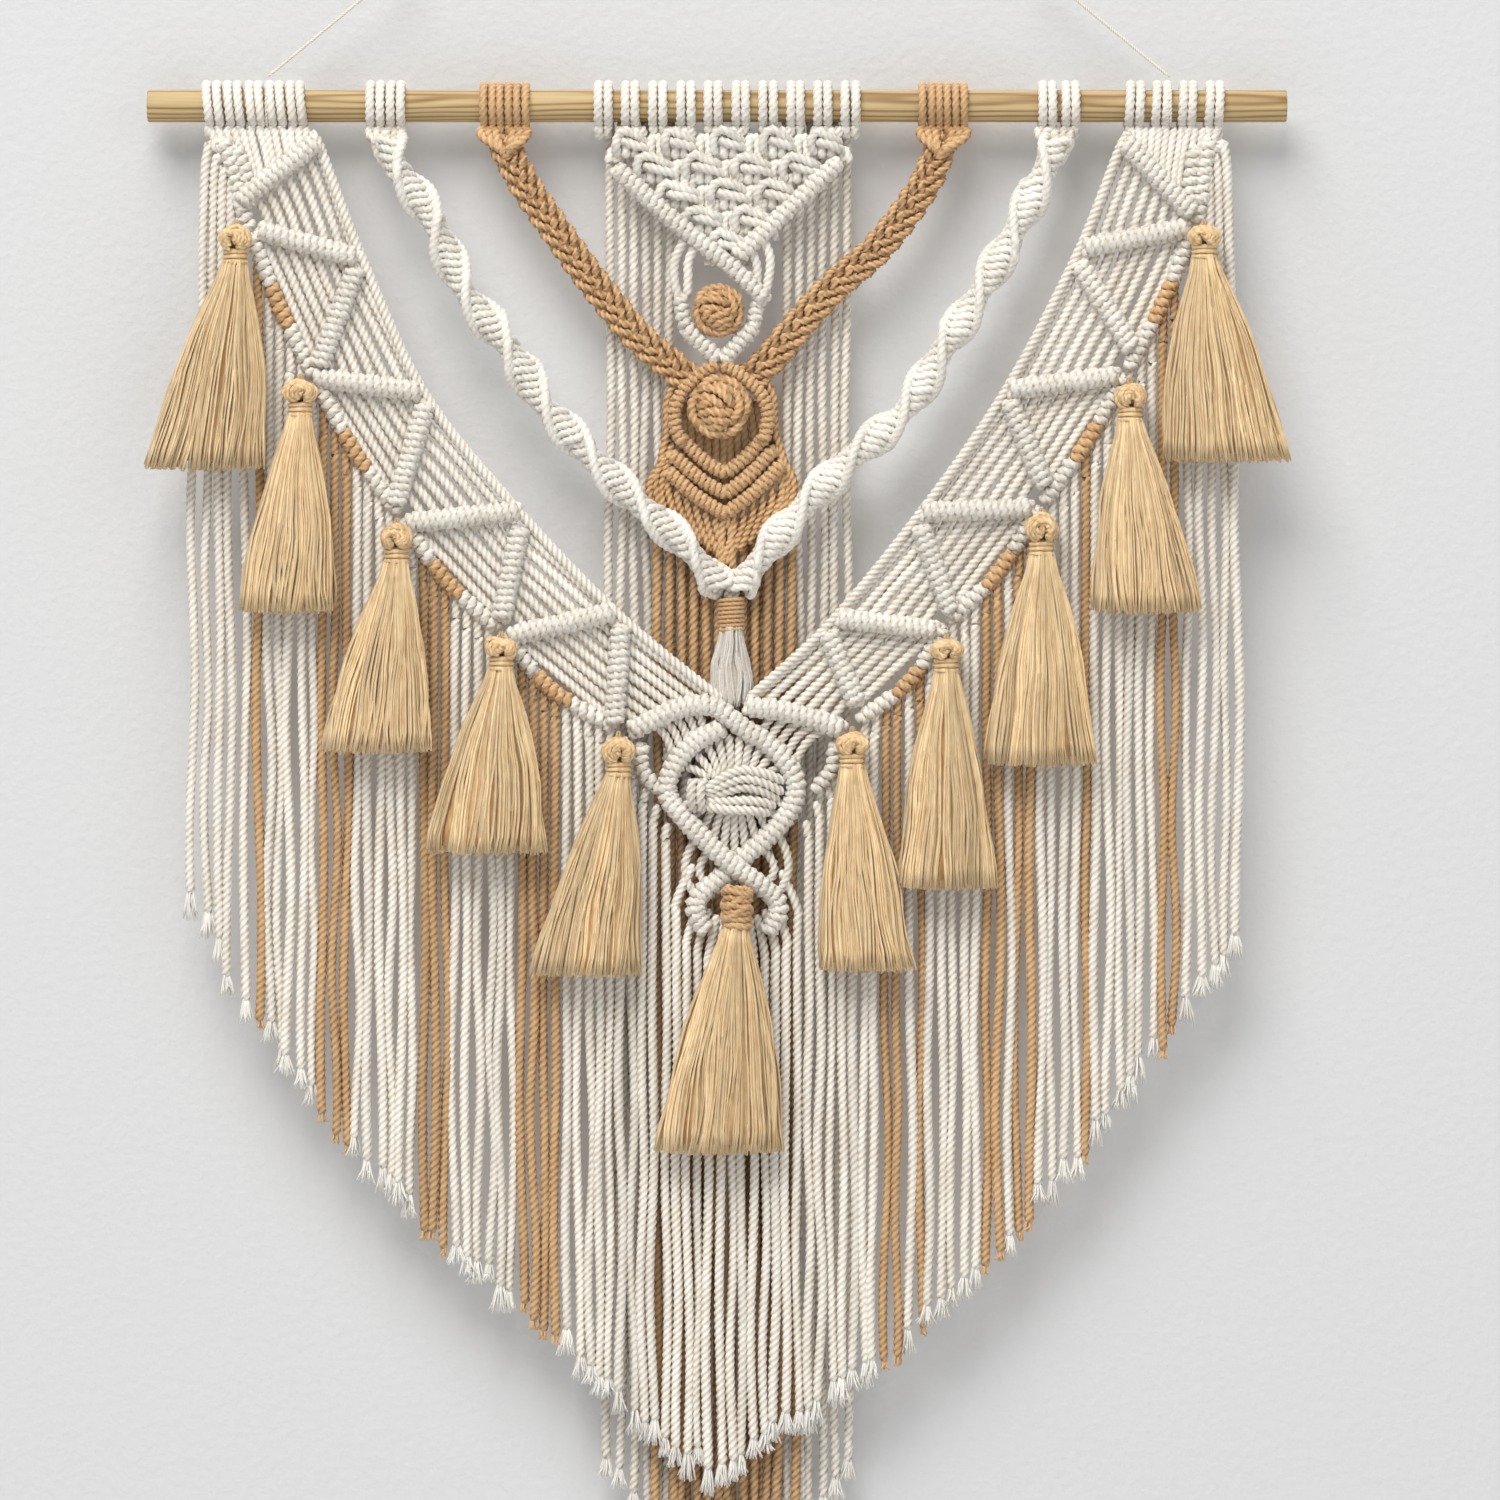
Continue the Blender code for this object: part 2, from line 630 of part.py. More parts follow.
def make_centre_fringe(shop, look):
    """The cords that drop from round the medallion."""
    strip = [place(x, z, BAND_Y) for x, z in CENTRE_STRIP]
    start, end = CENTRE_STRIP[0][0], CENTRE_STRIP[-1][0]
    count = int((end - start) / FRINGE_PITCH)
    xs = [start + (end - start) * k / count for k in range(count + 1)]
    roots = [(x, height_at(CENTRE_STRIP, x)) for x in xs]
    hems = [(x, height_at(FRINGE_HEM, x)) for x in xs]
    band = strip_along(shop, "centre_strip", strip)
    strands = shop.cords("centre_strands", fringe_paths(roots, hems, BAND_Y), CORD_RADIUS)
    shop.fuse("fringe_centre", [band, strands], look)


def make_tails(shop, looks):
    """The cords that hang behind everything: ivory at both sides of the panel and tan between them."""
    top = HEADER_Z - 4.0
    strip = [place(PANEL_TAIL_X[0] - 2.0, top, PANEL_TAIL_Y), place(PANEL_TAIL_X[-1] + 2.0, top, PANEL_TAIL_Y)]
    paths = []
    for x, end in zip(PANEL_TAIL_X, PANEL_TAIL_END):
        paths.append([place(x, top, PANEL_TAIL_Y), place(x, end, PANEL_TAIL_Y)])
    backing = strip_along(shop, "panel_strip", strip)
    shop.fuse("panel_tail", [backing, shop.cords("panel_cords", paths, CORD_RADIUS)], looks["ivory_cord"])
    strip = [place(x, z, TAN_TAIL_Y) for x, z in TAN_TAIL_STRIP]
    left, right = TAN_TAIL_STRIP[0][0], TAN_TAIL_STRIP[-1][0]
    paths = []
    for k in range(TAN_TAIL_CORDS):
        x = left + (right - left) * k / (TAN_TAIL_CORDS - 1)
        end = TAN_TAIL_END + TAN_TAIL_SLOPE * abs(k - (TAN_TAIL_CORDS - 1) / 2)
        paths.append([place(x, height_at(TAN_TAIL_STRIP, x), TAN_TAIL_Y), place(x, end, TAN_TAIL_Y)])
    backing = strip_along(shop, "tan_strip", strip)
    shop.fuse("tan_tail", [backing, shop.cords("tan_cords", paths, CORD_RADIUS)], looks["tan_cord"])


def hexagon(shop, name, thin, wide):
    """A flattened six-sided section, wide across the path that it is swept along."""
    angles = [math.radians(60 * k + 30) for k in range(6)]
    return shop.profile(name, [(thin * math.cos(a), wide * math.sin(a)) for a in angles])


def make_braids(shop, look):
    """Flat herringbone braids: a wide section that swells at each stitch."""
    section = hexagon(shop, "braid_section", BRAID_DEPTH, BRAID_WIDTH)
    for name, points in BRAIDS.items():
        path = smooth_path([place(x, z, BRAID_Y) for x, z in points], BRAID_STEP * MM)
        scales = [1.0 if k % 2 else BRAID_WAIST for k in range(len(path))]
        shop.fuse(name, [shop.cords(name + "_loft", [path], 1.0, [scales], section)], look)
    bpy.data.objects.remove(section)


def make_spirals(shop, look):
    """Half-knot spirals: a flat section that turns about its cord."""
    section = hexagon(shop, "spiral_section", SPIRAL_THIN, SPIRAL_WIDE)
    for name, points in SPIRALS.items():
        count = len(points) - 1
        depths = [SPIRAL_Y + (SPIRAL_END_BACK if k in (0, count) else 0.0) for k in range(count + 1)]
        route = smooth_path([place(x, z, y) for (x, z), y in zip(points, depths)], CORD * MM)
        length = sum((b - a).length for a, b in zip(route, route[1:])) / MM
        steps = round(length / SPIRAL_TURN * SPIRAL_STEPS)
        path = resample(route, steps)
        tilts = [2 * math.pi * k / SPIRAL_STEPS for k in range(steps + 1)]
        scales = [min(1.0, SPIRAL_TIP + SPIRAL_GROWTH * (steps - k)) for k in range(steps + 1)]
        shop.fuse(name, [shop.cords(name + "_loft", [path], 1.0, [scales], section, [tilts])], look)
    bpy.data.objects.remove(section)


def make_tassel(shop, row, y, shape, look):
    """A knotted head and neck with tapered locks of thread rooted in it, in a front and a back row."""
    name, x, top, neck, hem, hem_left, hem_right = row
    drop, waist = top - neck, shape["neck"]
    outline = [(0.0, top), (0.6 * waist, top - 0.14 * drop), (0.84 * waist, top - 0.42 * drop),
               (0.74 * waist, top - 0.62 * drop), (waist, top - 0.7 * drop), (waist, neck - 2.6), (0.0, neck - 2.6)]
    head = turned(shop, name + "_head", outline, 6, "Z", place(x, 0.0, y), flatten=shape["flatten"])
    paths, scales = [], []
    width = hem_right - hem_left
    for rank, count in enumerate(shape["locks"]):
        across = shape["row_depth"] * (-1 if rank == 0 else 1)
        for k in range(count):
            share = (k + 0.5) / count
            end_x = hem_left + width * share
            root_x = x + (share - 0.5) * 1.6 * waist
            shoulder_x = root_x + (end_x - root_x) * 0.5
            shoulder_z = neck + (hem - neck) * TASSEL_SHOULDER
            root = place(root_x, neck - 1.4, y + across * 0.4)
            shoulder = place(shoulder_x, shoulder_z, y + across * 0.8)
            paths.append([root, shoulder, place(end_x, hem + 3.0 * abs(share - 0.5), y + across)])
            scales.append([0.45, 0.58 * shape["lock"], shape["lock"]])
    section = shop.profile(name + "_lock", [(math.cos(a), math.sin(a)) for a in
                                            (math.radians(120 * k) for k in range(3))])
    skirt = shop.cords(name + "_locks", paths, 1.0, scales, section)
    bpy.data.objects.remove(section)
    shop.fuse(name, [head, skirt], look)


def berry(shop, name, x, z, radius, depth, y):
    """A round berry knot, flatter towards the viewer."""
    mesh = bpy.data.meshes.new(name)
    shape = bmesh.new()
    bmesh.ops.create_uvsphere(shape, u_segments=BERRY_SIDES[0], v_segments=BERRY_SIDES[1], radius=1.0)
    for vertex in shape.verts:
        vertex.co = place(x + vertex.co.x * radius, z + vertex.co.z * radius, y + vertex.co.y * depth)
    shape.to_mesh(mesh)
    shape.free()
    return shop.hidden(name, mesh)


def knotted_sheet(shop, name):
    """The field of alternating square knots: a grid whose points rise at each knot, cut to its triangle."""
    left, right, top = PANEL_TOP
    apex_x, apex_z = PANEL_APEX
    columns, rows = round((right - left) / KNOT_COLUMN), round((top - apex_z) / KNOT_ROW)
    shape = bmesh.new()
    bmesh.ops.create_grid(shape, x_segments=columns, y_segments=rows, size=0.5)
    outside = []
    for face in shape.faces:
        middle = face.calc_center_median()
        depth = 0.5 - middle.y
        full = 1.0 - max(0.0, depth - 0.22) / 0.78
        column = int((middle.x + 0.5) * columns)
        gap = int(depth * rows) == 1 and column % 4 == 3
        if abs(middle.x) > 0.5 * full + 0.01 or gap:
            outside.append(face)
    bmesh.ops.delete(shape, geom=outside, context="FACES")
    for vertex in shape.verts:
        column = round((vertex.co.x + 0.5) * columns)
        row = round((0.5 - vertex.co.y) * rows)
        knot = row % 4 == 1 and column % 4 == 2 or row % 4 == 3 and column % 4 == 0
        drift = (apex_x - (left + right) / 2) * (0.5 - vertex.co.y)
        x = left + (right - left) * (vertex.co.x + 0.5) + drift
        z = top + (apex_z - top) * (0.5 - vertex.co.y)
        vertex.co = place(x, z, PANEL_Y - (KNOT_RISE if knot else 0.0))
    raised = bmesh.ops.extrude_face_region(shape, geom=shape.faces[:], use_keep_orig=True)
    back = [item for item in raised["geom"] if isinstance(item, bmesh.types.BMVert)]
    for vertex in back:
        vertex.co.y = (PANEL_Y + PANEL_THICKNESS) * MM
    bmesh.ops.recalc_face_normals(shape, faces=shape.faces)
    bmesh.ops.dissolve_limit(shape, angle_limit=math.radians(0.5), verts=back, edges=shape.edges)
    mesh = bpy.data.meshes.new(name)
    shape.to_mesh(mesh)
    shape.free()
    return shop.hidden(name, welded(mesh))


def make_panel(shop, looks):
    """The centre panel with its V bars, and the white diamond with the small berry knot in it."""
    y = PANEL_Y - 1.4
    pieces = [knotted_sheet(shop, "panel_sheet")]
    for width, bars in ((PANEL_BAR_WIDTH, PANEL_BARS), (DIAMOND_BAR_WIDTH, DIAMOND_BARS)):
        for i, points in enumerate(bars):
            path = [place(x, z, y - BAR_STAGGER * i) for x, z in points]
            pieces.append(ridged(shop, f"panel_bar_{len(pieces)}", path, width))
    loops = [[place(x, z, y + BAR_STAGGER) for x, z in points] for points in PANEL_CORDS]
    pieces.append(shop.cords("panel_loops", loops, PANEL_CORD_RADIUS))
    shop.fuse("centre_panel", pieces, looks["ivory_cord"])
    ball = berry(shop, "small_berry_ball", y=PANEL_Y - 2.3, **SMALL_BERRY)
    stem = [place(SMALL_BERRY["x"], z, PANEL_Y) for z in SMALL_BERRY_CORD]
    shop.fuse("berry_small", [ball, shop.cords("small_berry_stem", [stem], CORD_RADIUS)], looks["tan_cord"])


def make_tan_centre(shop, look):
    """The tan diamond with the large berry knot, and the three chevrons under it."""
    pieces = [berry(shop, "large_berry_ball", y=PANEL_Y - 3.2, **LARGE_BERRY)]
    for i, points in enumerate(TAN_BARS):
        path = [place(x, z, PANEL_Y - BAR_STAGGER * i) for x, z in points]
        pieces.append(ridged(shop, f"tan_bar_{i}", path, TAN_BAR_WIDTH))
    links = [[place(x, z, PANEL_Y) for x, z in points] for points in TAN_LINKS]
    pieces.append(shop.cords("tan_links", links, TAN_LINK_RADIUS))
    shop.fuse("tan_centre", pieces, look)


def make_medallion(shop, look):
    """The rounded diamond whose lower bars cross and go on as a ring, its fanned cords and its wrapped knot."""
    pieces = []
    for i, points in enumerate(MEDALLION_BARS):
        path = [place(x, z, BAND_Y - BAR_STAGGER * i) for x, z in points]
        pieces.append(ridged(shop, f"medallion_bar_{i}", path, MEDALLION_BAR_WIDTH))
    for i, points in enumerate(MEDALLION_ROWS):
        path = [place(x, z, BAND_Y) for x, z in points]
        pieces.append(ridged(shop, f"medallion_row_{i}", path, MEDALLION_ROW_WIDTH, ROW_RIDGE_PITCH))
    knot = [place(x, z, BAND_Y - 2.0) for x, z in MEDALLION_KNOT]
    pieces.append(shop.cords("medallion_knot", [knot], MEDALLION_KNOT_RADIUS, [MEDALLION_KNOT_SCALES], sides=6))
    middle_x, _ = MEDALLION_KNOT[2]
    fans = []
    for points, (reach, z) in ((MEDALLION_FAN_ABOVE, FAN_ABOVE), (MEDALLION_FAN_BELOW, FAN_BELOW)):
        for x, bar_z in points:
            fans.append([place(x, bar_z, BAND_Y), place(middle_x + (x - middle_x) * reach, z, BAND_Y)])
    for start_x, start_z, end_x, end_z in MEDALLION_CORDS:
        fans.append([place(start_x, start_z, BAND_Y), place(end_x, end_z, BAND_Y)])
    pieces.append(shop.cords("medallion_cords", fans, FAN_CORD_RADIUS))
    shop.fuse("medallion", pieces, look)


def make_strings(shop, look):
    """The two legs of the hanging string, each with the tied eye at its end."""
    for side, start_x, start_z, end_x, end_z in STRING_LEGS:
        start, end = place(start_x, start_z, 0.0), place(end_x, end_z, 0.0)
        along = (end - start).normalized()
        path = [start.lerp(end, k / (STRING_POINTS - 1)) for k in range(STRING_POINTS)]
        leg = shop.cords(f"string_{side}", [path], STRING_RADIUS, sides=8)
        shop.fuse(f"hanging_string_{side}", [leg], look)
        knot_at = end + along * (EYE_KNOT + GAP) * MM
        bpy.ops.mesh.primitive_uv_sphere_add(segments=6, ring_count=5, radius=EYE_KNOT * MM, location=knot_at)
        knot = shop.adopt(bpy.context.active_object)
        bpy.ops.mesh.primitive_torus_add(
            location=knot_at + along * (EYE_KNOT + EYE_RADIUS - 0.8) * MM, rotation=(math.pi / 2, 0.0, 0.0),
            major_segments=10, minor_segments=4, major_radius=EYE_RADIUS * MM, minor_radius=STRING_RADIUS * MM)
        ring = shop.adopt(bpy.context.active_object)
        shop.fuse(f"string_eye_{side}", [ring, knot], look)


def main():
    shop = Workshop()
    looks = {
        "ivory_cord": material("ivory_cord", (0.84, 0.80, 0.72), 0.9),
        "tan_cord": material("tan_cord", (0.52, 0.30, 0.13), 0.9),
        "tassel_thread": material("tassel_thread", (0.74, 0.52, 0.27), 0.6),
    }
    make_dowel(shop)
    make_mountings(shop, looks)
    make_band(shop, "band_left", LEFT_BARS, LEFT_EDGE, looks["ivory_cord"])
    make_band(shop, "band_right", RIGHT_BARS, RIGHT_EDGE, looks["ivory_cord"])
    make_side_fringe(shop, "fringe_left", LEFT_EDGE, looks["ivory_cord"])
    make_side_fringe(shop, "fringe_right", RIGHT_EDGE, looks["ivory_cord"])
    make_centre_fringe(shop, looks["ivory_cord"])
    make_tails(shop, looks)
    make_braids(shop, looks["tan_cord"])
    make_spirals(shop, looks["ivory_cord"])
    make_panel(shop, looks)
    make_tan_centre(shop, looks["tan_cord"])
    make_medallion(shop, looks["ivory_cord"])
    make_strings(shop, looks["ivory_cord"])
    for row in TASSELS:
        make_tassel(shop, row, TASSEL_Y, TASSEL_SHAPE, looks["tassel_thread"])
    make_tassel(shop, SMALL_TASSEL, SMALL_TASSEL_Y, SMALL_TASSEL_SHAPE, looks["ivory_cord"])


main()
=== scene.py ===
# %% [markdown]
# # Dressing a macrame wall hanging
# The solids already hold every main form of the hanging at its true place: the dowel, the zigzag band, the
# braids, the spirals, the fringe and the tassels. This lesson ties the same pieces again in real cord. The
# tools are few: a path for a cord to follow, a section that turns along it, and loops that repeat both. The
# frame is loaded first, because every path below is in its coordinates.

# %% Load the frame
import math

import bpy
import numpy as np
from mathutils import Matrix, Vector


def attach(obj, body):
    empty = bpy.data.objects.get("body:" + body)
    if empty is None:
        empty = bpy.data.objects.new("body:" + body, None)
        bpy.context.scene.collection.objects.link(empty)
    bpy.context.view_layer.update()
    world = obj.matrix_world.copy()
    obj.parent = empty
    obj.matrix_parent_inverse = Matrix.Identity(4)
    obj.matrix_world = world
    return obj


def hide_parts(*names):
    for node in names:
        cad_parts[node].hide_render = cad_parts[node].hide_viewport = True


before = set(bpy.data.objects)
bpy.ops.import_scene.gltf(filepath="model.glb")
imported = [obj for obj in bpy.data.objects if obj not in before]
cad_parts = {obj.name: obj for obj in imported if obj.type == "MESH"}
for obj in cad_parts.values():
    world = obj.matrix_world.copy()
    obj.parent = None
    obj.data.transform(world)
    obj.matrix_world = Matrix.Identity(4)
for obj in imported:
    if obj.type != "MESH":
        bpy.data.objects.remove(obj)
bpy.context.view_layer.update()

# %% [markdown]
# ## The camera
# The hanging was photographed square on, from a few steps away with a long lens: the dowel's ends and the
# cut ends of the fringe show no perspective. A 200 mm lens at 3.3 m gives that flat view. The lengths in
# this lesson are millimetres, as on a maker's pattern, and MM turns them into Blender's metres.

# %% Set the camera
MM = 0.001
FRAME_WIDE = 600.0
VIEW_X, VIEW_Z, BAND_Y = 13.2, -258.4, -11.0
LENS, SENSOR = 200.0, 36.0

camera_data = bpy.data.cameras.new("camera")
camera_data.lens, camera_data.sensor_width = LENS, SENSOR
camera = bpy.data.objects.new("camera", camera_data)
camera.location = (VIEW_X * MM, (BAND_Y - FRAME_WIDE * LENS / SENSOR) * MM, VIEW_Z * MM)
camera.rotation_euler = (math.pi / 2, 0.0, 0.0)
bpy.context.collection.objects.link(camera)
bpy.context.scene.camera = camera
print("camera stands", round(-camera.location.y, 2), "m off")

# %% [markdown]
# ## Paths
# A maker thinks of where a cord runs, not of its surface. So a few control points stand for each run, and a
# Catmull-Rom curve passes through all of them, which a Bezier curve with free handles would not do by
# itself. Walking the curve in even steps then gives points whose twist can be counted in millimetres of
# cord.

# %% Draw and walk a path
AWAY = np.array([0.0, 1.0, 0.0])
chance = np.random.default_rng(7)


def at(x, z, y=0.0):
    """A point by its place on the wall, and its depth."""
    return np.array([x, y, z], float)


def line(pairs, y=0.0):
    """Points at one depth, from pairs of x and z."""
    return np.array([at(x, z, y) for x, z in pairs])


def unit(vectors):
    """The same directions, one long."""
    return vectors / np.maximum(np.linalg.norm(vectors, axis=-1, keepdims=True), 1e-9)


def smooth(points, step=1.5):
    """A curve that bends softly through every point."""
    p = np.asarray(points, float)
    p = np.vstack([2 * p[0] - p[1], p, 2 * p[-1] - p[-2]])
    bends = []
    for a, b, c, d in zip(p, p[1:], p[2:], p[3:]):
        count = max(2, int(np.linalg.norm(c - b) / step) + 1)
        t = np.linspace(0.0, 1.0, count, endpoint=False)[:, None]
        bends.append(0.5 * (2 * b + (c - a) * t + (2 * a - 5 * b + 4 * c - d) * t ** 2
                            + (3 * b - a - 3 * c + d) * t ** 3))
    return np.vstack(bends + [p[-2:-1]])


def lengths(path):
    """How far along the path each of its points is."""
    return np.r_[0.0, np.cumsum(np.linalg.norm(np.diff(path[:, :3], axis=0), axis=1))]


def walk(path, step, start=0.0, end=1.0):
    """The path, or a share of it, in even steps, and how far along each of them is."""
    run = lengths(path)
    first, last = run[-1] * start, run[-1] * end
    count = max(2, int(round((last - first) / step)))
    marks = np.linspace(first, last, count + 1)
    return np.column_stack([np.interp(marks, run, column) for column in path.T]), marks - first


def height_at(rows, x):
    """The height of a line of x and z pairs where it passes x."""
    return float(np.interp(x, [row[0] for row in rows], [row[1] for row in rows]))


print("a bend of 10 mm walks in", len(walk(smooth(line([(0, 0), (5, 5), (10, 0)])), 1.0)[0]), "points")

# %% [markdown]
# ## Twisted cord as a mesh
# Macrame cord is three plies twisted together, and the twist is what catches the light. A round tube with a
# painted twist would have a smooth outline, so the section is built: six points, in turn on a crest and in
# a groove, and each ring a little further round than the last. All cords of a piece are gathered as rings,
# and one mesh is made of them at the end, because a thousand small objects would be slow to handle. Each
# point keeps how deep in a groove it lies as painted shade, and its cord's own tone, for the finishes to
# read.

# %% Lay a cord as rings of points
CORD = 4.0
LEAD = 8.4


def ring_walk(path, across, radius, step, plies, lead, cut=0.3):
    """The rings of one cord along a path: crest and groove points that turn with the twist."""
    sided = np.broadcast_to(across, path[:, :3].shape)
    track, run = walk(np.hstack([path[:, :3], sided]), step)
    points, across = track[:, :3], track[:, 3:]
    ahead = unit(np.gradient(points, axis=0))
    side = unit(np.cross(across, ahead))
    up = np.cross(ahead, side)
    sides = 2 * plies if plies else 3
    twist = run[:, None] / lead * 2 * math.pi if plies else 0.0 * run[:, None]
    turn = twist + np.arange(sides) * 2 * math.pi / sides
    groove = np.arange(sides) % 2 if plies else np.zeros(sides)
    reach = radius * (1.04 - cut * groove)
    rings = points[:, None] + reach[None, :, None] * (
        np.cos(turn)[..., None] * side[:, None] + np.sin(turn)[..., None] * up[:, None])
    return rings, groove.astype(float), turn, points


class Skein:
    """The cords of one piece, kept as rings of points until the piece is made."""

    def __init__(self):
        self.tubes = []

    def add(self, rings, hollow=0.0, tone=0.0):
        """Keep one closed tube, given as rings of points, with its points' painted shade and its tone."""
        self.tubes.append((rings, np.broadcast_to(hollow, rings.shape[:2]), tone))

    def lay(self, path, radius=CORD / 2, across=AWAY, plies=3, lead=LEAD, step=1.2, tone=None, taper=None,
            pinch=0.6, cut=0.3, beside=0.0, above=0.0):
        """One twisted cord, or a thread if it has no plies; beside and above paint shade on its flanks."""
        rings, groove, turn, points = ring_walk(path, across, radius, step, plies, lead, cut)
        # Painted shade: deepest in the grooves, and on the flanks that beside and above pick out by their
        # turn.
        hollow = groove * cut / 0.3 + beside * np.cos(turn) ** 6 + above * np.sin(turn) ** 6
        scale = np.ones(len(rings))
        if taper is not None:
            scale = np.interp(np.linspace(0, 1, len(rings)), np.linspace(0, 1, len(taper)), taper)
        scale[[0, -1]] *= pinch
        rings = points[:, None] + (rings - points[:, None]) * scale[:, None, None]
        self.add(rings, hollow, chance.normal() if tone is None else tone)


# %% [markdown]
# ## Unwrapping the cords
# A finish can only be baked to a picture if every face has a place of its own in it. A cord unwraps into
# one long narrow strip, so all strips are joined end to end and folded into columns that fill the square.
# Blender's own smart unwrap cuts by the angles between faces, which would split a twisted cord into scraps.

# %% Fold the strips into the square and make the piece
COLUMN_FILL, ROW_FILL = 0.9, 0.96
STRIP_GAP, STRIP_SHAPE = 5.6, 11.0


def strip_corners(rings, begin, tall, columns):
    """The places in the square of one tube's faces, side faces first, then its two ends."""
    sides = rings.shape[1]
    middle = rings.mean(axis=1)
    run = begin + lengths(middle)
    column = np.floor(run[:-1] / tall)
    low = (run[:-1] - column * tall) / tall * ROW_FILL
    high = low + np.diff(run) / tall * ROW_FILL
    left = (column[:, None] + 0.05 + COLUMN_FILL * np.arange(sides) / sides) / columns
    right = left + COLUMN_FILL / sides / columns
    low, high = (np.repeat(edge[:, None], sides, axis=1) for edge in (low, high))
    faces = np.stack([np.stack([left, low], -1), np.stack([right, low], -1),
                      np.stack([right, high], -1), np.stack([left, high], -1)], axis=2).reshape(-1, 2)
    angles = np.arange(sides) * 2 * math.pi / sides
    round_off = np.column_stack([0.14 * np.cos(angles) / columns, 0.6 * np.sin(angles) / tall])
    ends = []
    for mark in (run[0] - STRIP_GAP / 4, run[-1] + STRIP_GAP / 4):
        place = math.floor(mark / tall)
        ends.append(round_off + [(place + 0.5) / columns,
                                 min(0.98, max(0.01, (mark / tall - place) * ROW_FILL))])
    return np.vstack([faces, ends[0][::-1], ends[1]])


def make_piece(skein, name, finish, slot, *nodes):
    """One mesh object of all the tubes of a skein, dressed, riding and standing for its nodes."""
    total = sum(lengths(rings.mean(axis=1))[-1] + STRIP_GAP for rings, _, _ in skein.tubes)
    columns = max(1, round(math.sqrt(total / STRIP_SHAPE)))
    tall = total / columns + 0.01
    points, hollow, tone, corners, counts, places = [], [], [], [], [], []
    base, begin = 0, STRIP_GAP / 2
    for rings, dip, shade in skein.tubes:
        count, sides, _ = rings.shape
        index = base + np.arange(count * sides).reshape(count, sides)
        beside = np.roll(index, -1, axis=1)
        quads = np.stack([index[:-1], beside[:-1], beside[1:], index[1:]], axis=-1)
        corners += [quads.ravel(), index[0][::-1], index[-1]]
        counts += [np.full((count - 1) * sides, 4), [sides], [sides]]
        places.append(strip_corners(rings, begin, tall, columns))
        points.append(rings.reshape(-1, 3))
        hollow.append(dip.ravel())
        tone.append(np.full(count * sides, float(shade)))
        base += count * sides
        begin += lengths(rings.mean(axis=1))[-1] + STRIP_GAP
    points, corners, counts = np.vstack(points) * MM, np.concatenate(corners), np.concatenate(counts)
    mesh = bpy.data.meshes.new(name)
    mesh.vertices.add(len(points))
    mesh.loops.add(len(corners))
    mesh.polygons.add(len(counts))
    mesh.vertices.foreach_set("co", points.ravel())
    mesh.loops.foreach_set("vertex_index", corners.astype(np.int32))
    mesh.polygons.foreach_set("loop_start", np.r_[0, np.cumsum(counts)[:-1]].astype(np.int32))
    mesh.polygons.foreach_set("use_smooth", np.ones(len(counts), bool))
    # Each point's painted shade and tone go to the mesh for the finishes to read.
    for label, values in (("hollow", hollow), ("tone", tone)):
        mesh.attributes.new(label, "FLOAT", "POINT").data.foreach_set("value", np.concatenate(values))
    mesh.uv_layers.new(name="OFBake").data.foreach_set("uv", np.vstack(places).ravel())
    mesh.update()
    mesh.validate()
    piece = bpy.data.objects.new(name, mesh)
    bpy.context.collection.objects.link(piece)
    mesh.materials.append(finish)
    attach(piece, "root")
    if nodes:
        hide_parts(*nodes)
    print(f"{name}: {int((counts - 2).sum())} triangles")
    return piece


# %% [markdown]
# ## Finishes as sums
# A finish is a graph of nodes, and long graphs are easier to read as sums. The class below wraps a socket,
# so that adding or multiplying two of them adds the Math node that does it. Colours never go through Math,
# which would turn them grey: they are mixed or scaled by nodes made for them.

# %% Wrap a socket, and gather nodes in a recipe
class Wire:
    """A socket that sums can be written with."""

    def __init__(self, recipe, socket):
        self.recipe, self.socket = recipe, socket

    def maths(self, operation, first, second):
        return self.recipe.node("Math", {"operation": operation}, {0: first, 1: second})

    def __add__(self, other):
        return self.maths("ADD", self, other)

    def __radd__(self, other):
        return self.maths("ADD", other, self)

    def __sub__(self, other):
        return self.maths("SUBTRACT", self, other)

    def __rsub__(self, other):
        return self.maths("SUBTRACT", other, self)

    def __mul__(self, other):
        return self.maths("MULTIPLY", self, other)

    def __rmul__(self, other):
        return self.maths("MULTIPLY", other, self)

    def __pow__(self, other):
        return self.maths("POWER", self, other)


